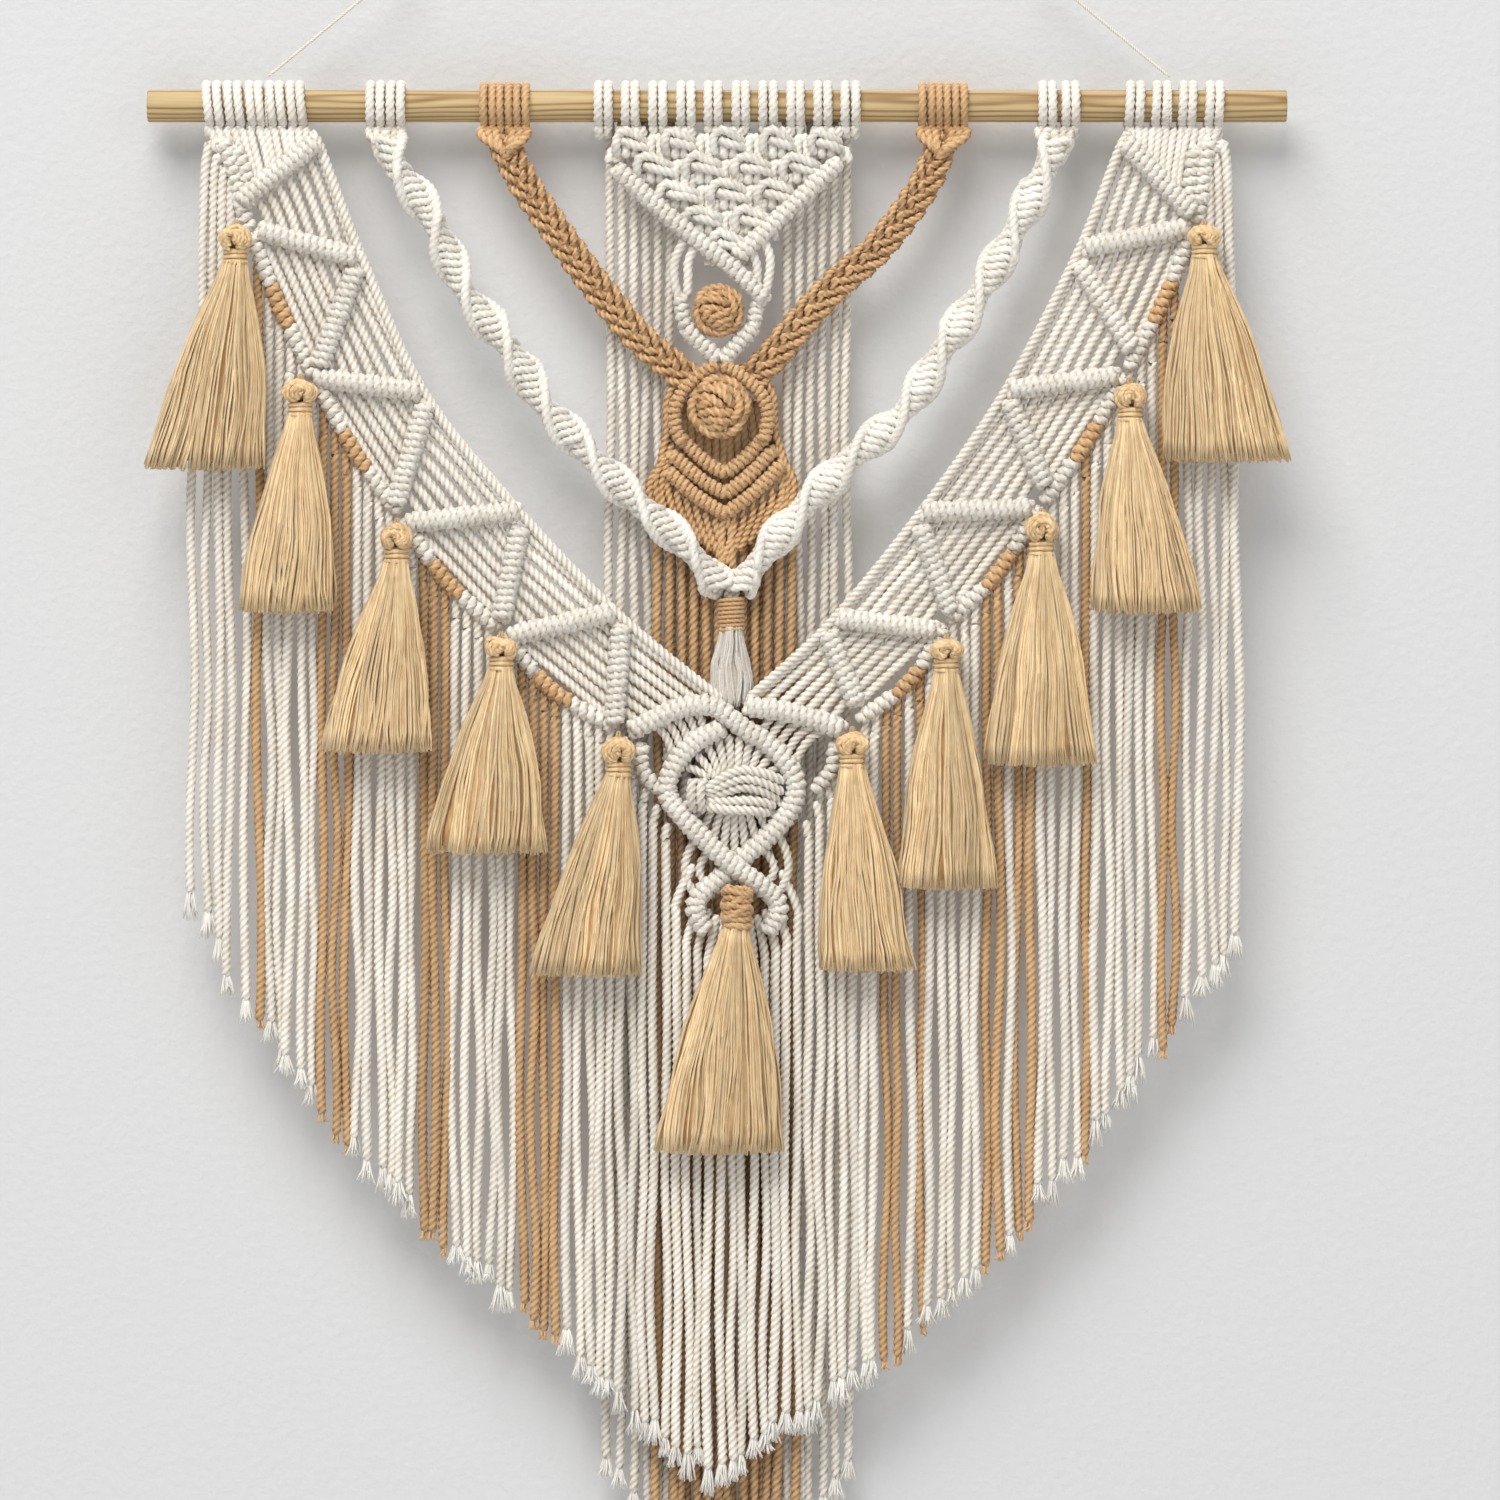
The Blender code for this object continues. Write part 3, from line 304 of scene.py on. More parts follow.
class Recipe:
    """One finish: its nodes, its links and the shader that they feed."""

    def __init__(self, name, **settled):
        self.material = bpy.data.materials.new(name)
        self.material.use_nodes = True
        self.tree = self.material.node_tree
        self.shader = self.tree.nodes["Principled BSDF"]
        for socket, value in settled.items():
            self.shader.inputs[socket.replace("_", " ")].default_value = value

    def node(self, kind, settings=None, values=None, output=0):
        """Add a node: its settings first, then the values or wires of its sockets."""
        made = self.tree.nodes.new("ShaderNode" + kind)
        for name, value in (settings or {}).items():
            setattr(made, name, value)
        for name, value in (values or {}).items():
            if isinstance(value, Wire):
                self.tree.links.new(value.socket, made.inputs[name])
            else:
                made.inputs[name].default_value = value
        return Wire(self, made.outputs[output])

    def mix(self, share, first, second):
        """A colour between two others; a plain colour is three numbers."""
        first, second = (value if isinstance(value, Wire) else (*value, 1.0) for value in (first, second))
        return self.node("Mix", {"data_type": "RGBA", "clamp_factor": True},
                         {0: share, 6: first, 7: second}, 2)

    def scaled(self, colour, factor):
        """A colour made lighter or darker."""
        return self.node("VectorMath", {"operation": "SCALE"}, {0: colour, "Scale": factor})

    def noise(self, scale, detail=2.0, stretch=None):
        """Cloudy values round one half, finer as the scale goes up, in the piece's own space."""
        place = self.node("TexCoord", output="Object")
        if stretch:
            place = self.node("Mapping", None, {"Vector": place, "Scale": stretch})
        return self.node("TexNoise", None, {"Vector": place, "Scale": scale, "Detail": detail})

    def read(self, label):
        """A value that the mesh keeps at each point."""
        return self.node("Attribute", {"attribute_name": label}, output="Fac")

    def feed(self, socket, value):
        self.tree.links.new(value.socket, self.shader.inputs[socket])

    def bump(self, height, strength, distance):
        self.feed("Normal", self.node("Bump", None, {
            "Height": height, "Strength": strength, "Distance": distance}, "Normal"))


# %% [markdown]
# ## Cotton cord
# Cotton is matt, with short fibres that stand off it and catch light at the edges: that is what sheen is
# for. The shade in the grooves between the plies, and on the flanks where cords lie close, is painted: the
# colour goes from a lit to a shaded tone with the painted shade that each point keeps. Cord from one roll
# still varies, so each run also has a tone of its own, and cords that lie deep get a darker tone as painted
# shade. The ivory and the tan cord are the same recipe with other dyes.

# %% Mix the two cottons
IVORY_LIT, IVORY_SHADE = (0.85, 0.825, 0.77), (0.47, 0.375, 0.26)
TAN_LIT, TAN_SHADE = (0.72, 0.475, 0.255), (0.29, 0.135, 0.043)
# Darker tones, as painted shade, for cords that lie deep: the tan fringe and the cords behind the tan
# centre and behind the medallion.
TAN_DEEP, SHADED, BEHIND = -4.5, -8.0, -9.0


def cotton(name, lit, shade, fuzz):
    """Twisted cotton: painted shade in its grooves and on its flanks, mottled, fibrous."""
    recipe = Recipe(name, Roughness=0.93, Sheen_Weight=fuzz, Sheen_Roughness=0.45, Specular_IOR_Level=0.25)
    fibre = recipe.noise(1300.0, 3.0)
    clouds = recipe.noise(70.0)
    # Painted shade from each point, with fibre and cloud mottling, mixes the lit and the shaded tone.
    depth = recipe.read("hollow") ** 1.5 * 0.85 + (fibre - 0.5) * 0.6 + (clouds - 0.5) * 0.5 + 0.04
    colour = recipe.mix(depth, lit, shade)
    # Each cord's own tone; deep cords get a darker tone as painted shade, and a few a lighter one as painted
    # light.
    recipe.feed("Base Color", recipe.scaled(colour, 1.0 + recipe.read("tone") * 0.035))
    recipe.bump(fibre, 0.5, 0.0004)
    return recipe.material


ivory_cotton = cotton("ivory_cotton", IVORY_LIT, IVORY_SHADE, 0.25)
tan_cotton = cotton("tan_cotton", TAN_LIT, TAN_SHADE, 0.15)
print("cottons:", ivory_cotton.name, tan_cotton.name)

# %% [markdown]
# ## Tassel thread
# The tassels look like fine viscose thread: smoother than cotton, with a soft silky gleam along the
# strands. A lower roughness gives the gleam, and a strong tone for each strand keeps hundreds of them
# apart. A noise that is stretched along the fall of the thread paints the small changes of light where a
# strand rolls over into the colour, as painted light and shade, and bumps the surface with them.

# %% Mix the tassel thread
THREAD_LIT, THREAD_SHADE = (0.77, 0.585, 0.34), (0.45, 0.24, 0.08)


def silky(name, lit, shade):
    """Smooth thread, each strand in its own tone, with painted light and shade along it."""
    recipe = Recipe(name, Roughness=0.5, Sheen_Weight=0.2, Sheen_Roughness=0.35, Specular_IOR_Level=0.45)
    roll = recipe.noise(420.0, 2.0, (1.0, 1.0, 0.12))
    crimp = recipe.noise(620.0, 3.0, (1.0, 1.0, 0.4))
    # Painted shade from each point, and painted light and shade where a strand rolls over, mix the two
    # tones.
    depth = recipe.read("hollow") * 0.8 + (roll - 0.5) * 0.9 + (crimp - 0.5) * 0.9 + 0.2
    colour = recipe.mix(depth, lit, shade)
    recipe.feed("Base Color", recipe.scaled(colour, 1.0 + recipe.read("tone") * 0.09))
    recipe.feed("Roughness", 0.45 + roll * 0.25)
    recipe.bump(roll + crimp, 0.5, 0.0004)
    return recipe.material


tassel_thread = silky("tassel_thread_finish", THREAD_LIT, THREAD_SHADE)
print("thread:", tassel_thread.name)

# %% [markdown]
# ## The pine dowel
# A dowel is turned from a pine board, so its surface cuts through the tree's rings at a slant: long streaks
# along the rod, and arcs on the sawn ends. Rings about an axis that lies outside the rod give both at once,
# with no painting by hand. The rod is a stack of rings that is only very slightly uneven, and its end edges
# are broken with sandpaper.

# %% Turn the dowel and give it grain
DOWEL_LENGTH, DOWEL_RADIUS = 457.0, 6.5
PINE_PALE, PINE_DARK = (0.54, 0.405, 0.205), (0.235, 0.125, 0.04)


def pine(name):
    """Slanting year rings, fine fibre and open pores."""
    recipe = Recipe(name, Roughness=0.55, Specular_IOR_Level=0.35)
    place = recipe.node("TexCoord", output="Object")
    warp = recipe.noise(1.0, 3.0, (5.0, 45.0, 45.0))
    y = recipe.node("SeparateXYZ", None, {0: place}, "Y")
    z = recipe.node("SeparateXYZ", None, {0: place}, "Z")
    off_axis = ((y + 0.012) ** 2.0 + (z - 0.005) ** 2.0) ** 0.5 + (warp - 0.5) * 0.012
    rings = recipe.node("Math", {"operation": "SINE"}, {0: off_axis * 2600.0}) * 0.5 + 0.5
    fibre = recipe.noise(1.0, 3.0, (30.0, 1400.0, 1400.0))
    depth = rings ** 2.5 * 0.75 + (fibre - 0.5) * 0.7 + 0.1
    recipe.feed("Base Color", recipe.mix(depth, PINE_PALE, PINE_DARK))
    recipe.feed("Roughness", 0.48 + fibre * 0.2)
    recipe.bump(fibre * 0.6 - rings * 0.2, 0.35, 0.0003)
    return recipe.material


def turn_dowel():
    """The rod, as rings along x."""
    half = DOWEL_LENGTH / 2
    places = np.r_[-half, -half + 0.5, np.linspace(-half + 4, half - 4, 70), half - 0.5, half]
    reach = np.full(len(places), DOWEL_RADIUS)
    reach[2:-2] += chance.normal(0.0, 0.02, len(places) - 4)
    reach[[0, -1]] -= 0.5
    angles = np.linspace(0.0, 2 * math.pi, 48, endpoint=False)
    ring = np.stack([np.zeros(48), np.cos(angles), np.sin(angles)], axis=-1)
    rings = places[:, None, None] * np.array([1.0, 0.0, 0.0]) + reach[:, None, None] * ring[None]
    skein = Skein()
    skein.add(rings)
    make_piece(skein, "pine_dowel", pine("pine_finish"), "pine", "dowel")


turn_dowel()

# %% [markdown]
# ## The hanging string
# A thin twisted string holds the dowel from above. Only the two lower ends of it show, so each leg runs on,
# taut, to just past the edge of the view, and ends in a small tied eye. Each leg starts from two turns of
# string round the dowel.

# %% Tie the two legs of the string
STRING_RADIUS, STRING_POINTS = 0.7, 20
STRING_LEGS = {"left": ((-180.4, 11.7), (-132.7, 51.1)), "right": ((181.6, 11.7), (133.9, 51.1))}
EYE_KNOT, EYE_RADIUS, EYE_GAP = 1.8, 4.0, 0.3
TIE_REACH, TIE_PITCH = 9.6, 1.3


def round_turn(skein, x):
    """String once round the dowel."""
    angles = np.linspace(-math.pi / 2, 1.5 * math.pi, 26)
    path = np.column_stack([np.full(26, x), -TIE_REACH * np.cos(angles), TIE_REACH * np.sin(angles)])
    skein.lay(path, STRING_RADIUS, np.array([1.0, 0.0, 0.0]), plies=2, lead=3.2, step=0.9)


for side, (foot, head) in STRING_LEGS.items():
    start, end = at(*foot), at(*head)
    along = unit(end - start)
    leg_path = start + (end - start) * np.linspace(0.0, 1.0, STRING_POINTS)[:, None]
    leg, eye, tie = Skein(), Skein(), Skein()
    leg.lay(leg_path, STRING_RADIUS, plies=3, lead=3.4, step=0.7, tone=0.0)
    middle = end + along * (2 * EYE_KNOT + EYE_RADIUS - 0.2)
    swing = np.linspace(-0.94, 0.94, 24) * math.pi
    across = np.array([-along[2], 0.0, along[0]])
    eye.lay(middle + EYE_RADIUS * (-np.cos(swing)[:, None] * along + np.sin(swing)[:, None] * across),
            STRING_RADIUS, plies=3, lead=3.4, step=0.7)
    knot_at = end + along * (EYE_KNOT + EYE_GAP)
    for tip in (-0.5, 0.5):
        spin = np.linspace(0.0, 2 * math.pi, 14)
        hoop = knot_at + tip * along * 1.3 + 1.0 * (np.cos(spin)[:, None] * across
                                                    + np.sin(spin)[:, None] * AWAY)
        eye.lay(hoop, STRING_RADIUS * 1.1, along, plies=2, lead=3.0, step=0.7)
    round_turn(tie, foot[0])
    round_turn(tie, foot[0] + (TIE_PITCH if side == "left" else -TIE_PITCH))
    make_piece(tie, f"string_tie_{side}", ivory_cotton, "ivory_cord")
    eye_piece = make_piece(eye, f"string_loop_{side}", ivory_cotton, "ivory_cord", f"string_eye_{side}")
    leg_piece = make_piece(leg, f"string_leg_{side}", ivory_cotton, "ivory_cord", f"hanging_string_{side}")
    print(f"string leg {side}: {np.linalg.norm(end - start):.1f} mm")

# %% [markdown]
# ## Lark's heads
# Each cord is hung on the dowel by a lark's head: two turns lie side by side over the rod, and both ends
# leave below it. From the front only the two turns show, close together, with a sliver of bare wood before
# the next pair. One table gives each group its place and pitch, and one loop ties them all.

# %% Hang the cords on the dowel
MOUNTINGS = {
    "mounting_left": (-202.0, 8.4, 5, "ivory"), "mounting_spiral_left": (-137.0, 8.2, 2, "ivory"),
    "mounting_braid_left": (-91.8, 6.6, 3, "tan"), "mounting_centre": (-45.6, 11.0, 10, "ivory"),
    "mounting_braid_right": (84.2, 6.6, 3, "tan"), "mounting_spiral_right": (132.6, 9.0, 2, "ivory"),
    "mounting_right": (167.4, 10.6, 4, "ivory"),
}
LOOP_LEAN = {"mounting_left": 0.10, "mounting_right": -0.05}
LOOP_FOOT = -12.4


def lark_turn(skein, x, foot_x, reach, radius, lean):
    """One turn over the dowel, with both its ends below."""
    angles = np.radians(np.linspace(-62.0, 242.0, 17))
    turn = np.column_stack([np.full(17, x), -reach * np.cos(angles), reach * np.sin(angles)])
    turn[:, 0] -= lean * turn[:, 2] - chance.normal(0.0, 0.15)
    path = np.vstack([at(foot_x, LOOP_FOOT, -1.5), at(0.6 * foot_x + 0.4 * x, -10.4, -3.6), turn,
                      at(x, -10.4, 4.0), at(x, LOOP_FOOT, 1.8)])
    # A lighter tone paints light on the turns, and above adds painted shade where they lie side by side.
    skein.lay(smooth(path, 1.0), radius, np.array([1.0, 0.0, 0.0]), step=1.0, tone=chance.normal(1.2, 0.6),
              cut=0.2, above=0.25)


for name, (first, pitch, pairs, dye) in MOUNTINGS.items():
    skein = Skein()
    radius = min(2.0, pitch / 4 + 0.1)
    for k in range(pairs):
        middle = first + pitch * k
        for half in (-1, 1):
            lark_turn(skein, middle + half * (radius - 0.05), middle + half * radius * 0.8,
                      DOWEL_RADIUS + radius, radius, LOOP_LEAN.get(name, 0.0))
    make_piece(skein, name.replace("mounting", "larks_heads"),
               ivory_cotton if dye == "ivory" else tan_cotton,
               dye + "_cord", name)

# %% [markdown]
# ## Half hitches
# A bar of double half hitches is a working cord that winds round a carrying cord, hitch after hitch. So a
# bar is a coil about a line. The coil is flatter towards the wall than it is wide, and its turns are a
# little uneven, as hands leave them. The same coil makes the edge rows, the tan bindings of two tassels
# and, when its oval section turns along the way, the half-knot spirals.

# %% Wind a cord round a line
def coil(skein, path, wide, deep, cord=2.0, pitch=3.0, full_turn=0.0, lean=0.0, uneven=0.06, cut=0.17,
         tone=None, above=0.6):
    """A cord wound along a path, wide and deep being the half sizes outside."""
    core, run = walk(np.asarray(path, float), 1.0)
    ahead = unit(np.gradient(core, axis=0))
    side = unit(np.cross(AWAY, ahead))
    turns = max(1.0, round(run[-1] / pitch * 2) / 2)
    marks = np.linspace(0.0, run[-1], int(turns * 14) + 1)
    track = [np.column_stack([np.interp(marks, run, column) for column in part.T])
             for part in (core, ahead, side)]
    core, ahead, side = track[0], unit(track[1]), unit(track[2])
    out = np.cross(ahead, side)
    wobble = 1.0 + uneven * np.interp(marks, np.linspace(0, run[-1], int(turns * 2) + 2),
                                      chance.normal(size=int(turns * 2) + 2))
    angle = 2 * math.pi * turns * marks / run[-1]
    spin = 2 * math.pi * marks / full_turn if full_turn else 0.0 * marks
    flat, thick = (wide - cord) * np.cos(angle) * wobble, (deep - cord) * np.sin(angle) * wobble
    route = (core + side * (flat * np.cos(spin) - thick * np.sin(spin))[:, None]
             + out * (flat * np.sin(spin) + thick * np.cos(spin))[:, None]
             + ahead * (lean * np.sin(2 * angle))[:, None])
    # above adds painted shade in the crevices between the turns, and cut in the grooves of the plies.
    skein.lay(route, cord, ahead, step=0.95, tone=tone, pinch=0.5, cut=cut, above=above)


BAR_WIDTH, BAR_DEPTH, ROW_WIDTH, ROW_DEPTH, HEADER_Z = 4.7, 3.8, 3.9, 3.2, -14.6
LEFT_BARS = [(-160, -15, -190.4, -38.4), (-144, -61.6, -183.6, -50.4), (-144, -65.6, -159.6, -105.6),
             (-118.4, -115.2, -160.4, -109.6), (-116.4, -119.6, -128.4, -159.6),
             (-78.8, -162.8, -123.2, -167.6),
             (-78.8, -169.6, -86.4, -206.4), (-41.6, -203.2, -82.4, -212.8), (-38.4, -208.8, -41.2, -247.2),
             (3.2, -241.4, -35.4, -250.8)]
RIGHT_BARS = [(162.8, -15, 189.6, -43.6), (146.8, -57.6, 188.8, -49.6), (144.4, -63.6, 166.4, -98.4),
              (116.8, -114.4, 160.4, -108.8), (116.8, -118.8, 130.8, -152.4), (82, -163.2, 126, -162),
              (81.2, -169.2, 93.2, -202.8), (48.4, -205.6, 88, -210.4), (44, -211.2, 56, -240.4),
              (10.6, -240.6, 50.8, -249.6)]
LEFT_EDGE = [(-200, -15.4, 0), (-192.4, -36, 0), (-187, -50, 0), (-161, -109.6, 1.5), (-126.4, -164.8, 2),
             (-86.4, -210.8, 3.5), (-39.6, -250, 5)]
RIGHT_EDGE = [(199, -15.4, 0), (194.4, -36, 0), (191, -48.6, 0), (163.6, -107.2, 1.5), (129.6, -160.4, 2),
              (91.6, -207.8, 3.5), (55.4, -247.2, 5)]
BAR_PROUD = 1.6
CELL_CORDS, CELL_FIRST, CELL_LAST, CELL_CORD, CELL_BACK = 7, 0.13, 0.99, 2.15, 2.0
print(len(LEFT_BARS) + len(RIGHT_BARS), "bars in the band")

# %% [markdown]
# ## The zigzag band
# The V is worked from the top down. Between two bars the cords run side by side, from the near end of one
# to the same place on the next, and along the outer side a row of hitches closes each cell. In each of
# the four long rows about the middle third was worked with tan cord. A cord bows a little next to a knot,
# because the knot pulls it in.

# %% Work the band, its cells and its edge rows
FIRST_ROWS = {"left": ([(-198.0, -14.0), (-193.4, -26.0), (-190.6, -41.0)],
                       [(-192.6, -17.0), (-188.4, -29.0), (-187.0, -41.0)]),
              "right": ([(197.0, -14.0), (194.6, -26.0), (193.6, -40.0)],
                        [(191.6, -17.0), (189.8, -29.0), (188.6, -41.0)])}
HEADER_CORDS = 13
HEADER_TOPS = {"left": (-203.6, -164.4), "right": (200.6, 166.0)}
INNER_EDGES = {"left": [(-163, -12), (-159, -17), (-141.5, -63), (-116, -117.4), (-76.5, -166.2),
                        (-37.5, -206), (2.0, -238.5)],
               "right": [(166, -12), (161.5, -17), (144.0, -60.5), (114.5, -116.4), (79.5, -166.2),
                         (44.5, -208.5), (12.5, -238.0)]}
LAST_BARS = {"left": [(-34.6, -251), (-18.8, -243), (-6.8, -240.2), (1.2, -242.4), (6.4, -246.8)],
             "right": [(50.8, -250.4), (40, -246.4), (25.2, -242.6), (11.6, -241)]}


def edge_spans(rows, y=BAND_Y):
    """Each stretch of an edge row, from knot to knot, with its sag."""
    spans = []
    for (x0, z0, _), (x1, z1, sag) in zip(rows, rows[1:]):
        out = unit(np.array([z1 - z0, x0 - x1], float))
        out = -out if out[1] > 0 else out
        middle = ((x0 + x1) / 2 + out[0] * sag, (z0 + z1) / 2 + out[1] * sag)
        spans.append(line([(x0, z0), middle, (x1, z1)], y))
    return spans


def bowed(start, end, bow, dip=0.0):
    """A cord between two knots, bowed square to its run and dipping towards the wall."""
    run = end - start
    square = unit(np.array([run[2], 0.0, -run[0]])) * bow
    return smooth([start, start + run * 0.3 + square * 0.9 + AWAY * dip,
                   start + run * 0.7 + square * 0.9 + AWAY * dip,
                   end], 2.0)


def row_coil(skein, path, y_shift=0.0):
    """An edge row: big separate hitches."""
    coil(skein, path + AWAY * y_shift, ROW_WIDTH, ROW_DEPTH, cord=2.05, pitch=3.6)


def work_cells(skein, bars, sign):
    """The parallel cords between each bar and the next."""
    ends = [(at(a, b, BAND_Y + CELL_BACK), at(c, d, BAND_Y + CELL_BACK)) for a, b, c, d in bars]
    for i, ((inner, outer), (next_inner, next_outer)) in enumerate(zip(ends, ends[1:])):
        for k in range(CELL_CORDS):
            share = CELL_FIRST + (CELL_LAST - CELL_FIRST) * k / (CELL_CORDS - 1)
            here, there = (inner, next_inner) if i % 2 else (outer, next_outer)
            far, beyond = (outer, next_outer) if i % 2 else (inner, next_inner)
            start, end = here + (far - here) * share, there + (beyond - there) * share
            bow = chance.normal(0.0, 0.2) + (1.0 - share) * 1.6 * sign * (-1 if i % 2 else 1)
            # beside adds painted shade where the cords lie side by side.
            skein.lay(bowed(start, end, bow, chance.uniform(0.0, 0.6)), CELL_CORD, cut=0.23, beside=0.75)


def work_header(skein, bar, tops):
    """The cords that fan from the dowel to the first bar and the first hitches."""
    inner, outer = at(bar[0], bar[1], BAND_Y + 2.0), at(bar[2], bar[3], BAND_Y + 2.0)
    top_outer, top_inner = (at(x, -9.0, -4.0) for x in tops)
    for k in range(HEADER_CORDS):
        share = k / (HEADER_CORDS - 1)
        start = top_inner + (top_outer - top_inner) * share
        # beside adds painted shade where the cords lie side by side.
        skein.lay(bowed(start, inner + (outer - inner) * min(1.0, 0.12 + share), chance.normal(0.0, 0.3)),
                  1.8, cut=0.2, beside=0.4)


def work_band(side, bars, edge):
    ivory, tan = Skein(), Skein()
    sign = -1 if side == "left" else 1
    for points in FIRST_ROWS[side]:
        row_coil(ivory, smooth(line(points, BAND_Y)), 0.6)
    for i, span in enumerate(edge_spans(edge)):
        if i < 2:
            if i == 1:
                row_coil(ivory, smooth(span), 1.0)
            continue
        for first, last, skein in ((0.03, 0.36, ivory), (0.36, 0.64, tan), (0.64, 0.97, ivory)):
            row_coil(skein, walk(smooth(span), 1.0, first, last)[0])
    for a, b, c, d in bars[:-1]:
        coil(ivory, line([(a, b), (c, d)], BAND_Y - BAR_PROUD), BAR_WIDTH, BAR_DEPTH)
    coil(ivory, smooth(line(LAST_BARS[side], BAND_Y - BAR_PROUD)), BAR_WIDTH, BAR_DEPTH)
    work_cells(ivory, bars, sign)
    work_header(ivory, bars[0], HEADER_TOPS[side])
    ivory.lay(smooth(line(INNER_EDGES[side], BAND_Y + 0.2)), 2.15)
    make_piece(ivory, f"zigzag_band_{side}", ivory_cotton, "ivory_cord", f"band_{side}")
    make_piece(tan, f"tan_edge_beads_{side}", tan_cotton, "tan_cord", f"band_{side}")


work_band("left", LEFT_BARS, LEFT_EDGE)
work_band("right", RIGHT_BARS, RIGHT_EDGE)

# %% [markdown]
# ## The fringe
# Ninety-four cords hang from the edge rows and from the medallion, and are cut to a long point. Nothing
# holds them below, so each wanders a few millimetres and some hang in front of others: a slow wave whose
# reach grows on the way down gives that. The cut ends of the ivory cords were combed out into small tufts,
# and the tan ones have hardly opened. A tuft is a spray of single fibres, each a thin thread of its own.

# %% Hang a fringe cord and comb out its end
FRINGE_HEM = [(-211, -320), (-190, -365), (-149, -418), (-110, -459), (-66, -495), (-30, -535), (0, -554),
              (33, -530), (75, -502), (109, -466), (149, -422), (181, -376), (210, -338)]
TAN_RANGES = [(-189, -180.5), (-158, -144.5), (-121, -108.5), (-79, -64.5), (67, 73.5), (77, 82.5),
              (106, 113.5), (119, 125.5), (145, 151.5), (177, 185.5)]
FRINGE_PITCH, FRINGE_OFFSET, FRINGE_CORDS_BESIDE, FRINGE_SWING = 4.3, 6.2, 5, 4.2
TUFT_FIBRES, TUFT_LONG, TUFT_WIDE = 24, 8.8, 4.0


def tuft(skein, top, long, wide, fibres, radius=1.5):
    """Combed-out fibres that spread below the end of a cord."""
    tone = chance.normal()
    for k in range(fibres):
        angle = chance.uniform(0.0, 2 * math.pi)
        spread = np.sqrt(chance.uniform(0.05, 1.0))
        way = np.array([math.cos(angle), 0.7 * math.sin(angle), 0.0])
        drop = long * chance.uniform(0.78, 1.05)
        curl = chance.normal(0.0, 0.35, 3) * [1, 1, 0]
        points = [top + way * spread * radius * 0.7 + at(0, 1.0),
                  top + way * spread * (0.5 * radius + 0.35 * wide)
                  + curl + at(0, -0.45 * drop), top + way * spread * wide - curl + at(0, -drop)]
        skein.lay(np.array(points), 0.45, plies=0, step=drop / 3, tone=tone + chance.normal(0.0, 0.6),
                  taper=(1.0, 1.0, 0.6), pinch=1.0)


def hang(skein, points, reach=1.15, end_tuft=True, step=1.45, tone=0.0):
    """A cord through its first points, then free to wander, with its end combed out or only cut."""
    path = smooth(points, 4.0)
    run = lengths(path)
    loose = np.clip((run - 25.0) / 140.0, 0.0, 1.0)
    for axis, size in ((0, reach), (1, 0.8 * reach)):
        phase, wave = chance.uniform(0.0, 2 * math.pi, 2), chance.uniform(90.0, 190.0)
        path[:, axis] += size * loose * (0.75 * np.sin(run / wave * 2 * math.pi + phase[0])
                                         + 0.3 * np.sin(run / wave * 5.2 + phase[1]))
    # beside adds painted shade on the cord's flanks.
    skein.lay(path, CORD / 2 * chance.uniform(1.0, 1.1), step=step, tone=tone + chance.normal(), cut=0.25,
              beside=0.45)
    if end_tuft:
        tuft(skein, path[-1], TUFT_LONG * chance.uniform(0.8, 1.2), TUFT_WIDE * chance.uniform(0.8, 1.2),
             TUFT_FIBRES)
    else:
        tuft(skein, path[-1], 3.6, 2.3, 10)


print("hem drops", round(FRINGE_HEM[0][1] - FRINGE_HEM[6][1]), "mm from side to point")

# %% Hang the side fringes and the centre fringe
def beside(points, distance):
    """The same line moved outward and down, square to its run."""
    run = unit(np.vstack([points[1:], points[-1:]]) - np.vstack([points[:1], points[:-1]]))
    out = np.column_stack([run[:, 2], 0 * run[:, 0], -run[:, 0]])
    return points + out * np.where(out[:, 2:] < 0, distance, -distance)


def fringe(name, paths, node):
    """Hang cords that are each given by their points from the root down to the hem."""
    skeins = {"ivory": Skein(), "tan": Skein()}
    for k, points in enumerate(paths):
        hem_x, hem_z = points[-1]
        dye = "tan" if any(low < hem_x < high for low, high in TAN_RANGES) else "ivory"
        layer = (0.0, 1.6, 0.6)[k % 3] + chance.uniform(-0.4, 0.4)
        end_x = hem_x + chance.normal(0.0, 0.5)
        end_z = hem_z + TUFT_LONG + chance.uniform(-4.0, 3.0) - (5.0 if dye == "tan" else 0.0)
        knee_x, knee_z = points[-2]
        track = [at(x, z, BAND_Y + 1.4 + 0.4 * layer) for x, z in points[:-1]]
        track += [at(0.3 * knee_x + 0.7 * end_x, knee_z - 14.0, BAND_Y + layer),
                  at(end_x, 0.4 * knee_z + 0.6 * end_z, BAND_Y + layer), at(end_x, end_z, BAND_Y + layer)]
        # Tan cords get the darker tone of painted shade.
        hang(skeins[dye], np.array(track), end_tuft=dye == "ivory", tone=TAN_DEEP if dye == "tan" else 0.0)
    print(len(paths), "cords in", name)
    for dye, skein in skeins.items():
        if skein.tubes:
            make_piece(skein, f"{name}_{dye}", ivory_cotton if dye == "ivory" else tan_cotton,
                       dye + "_cord", node)


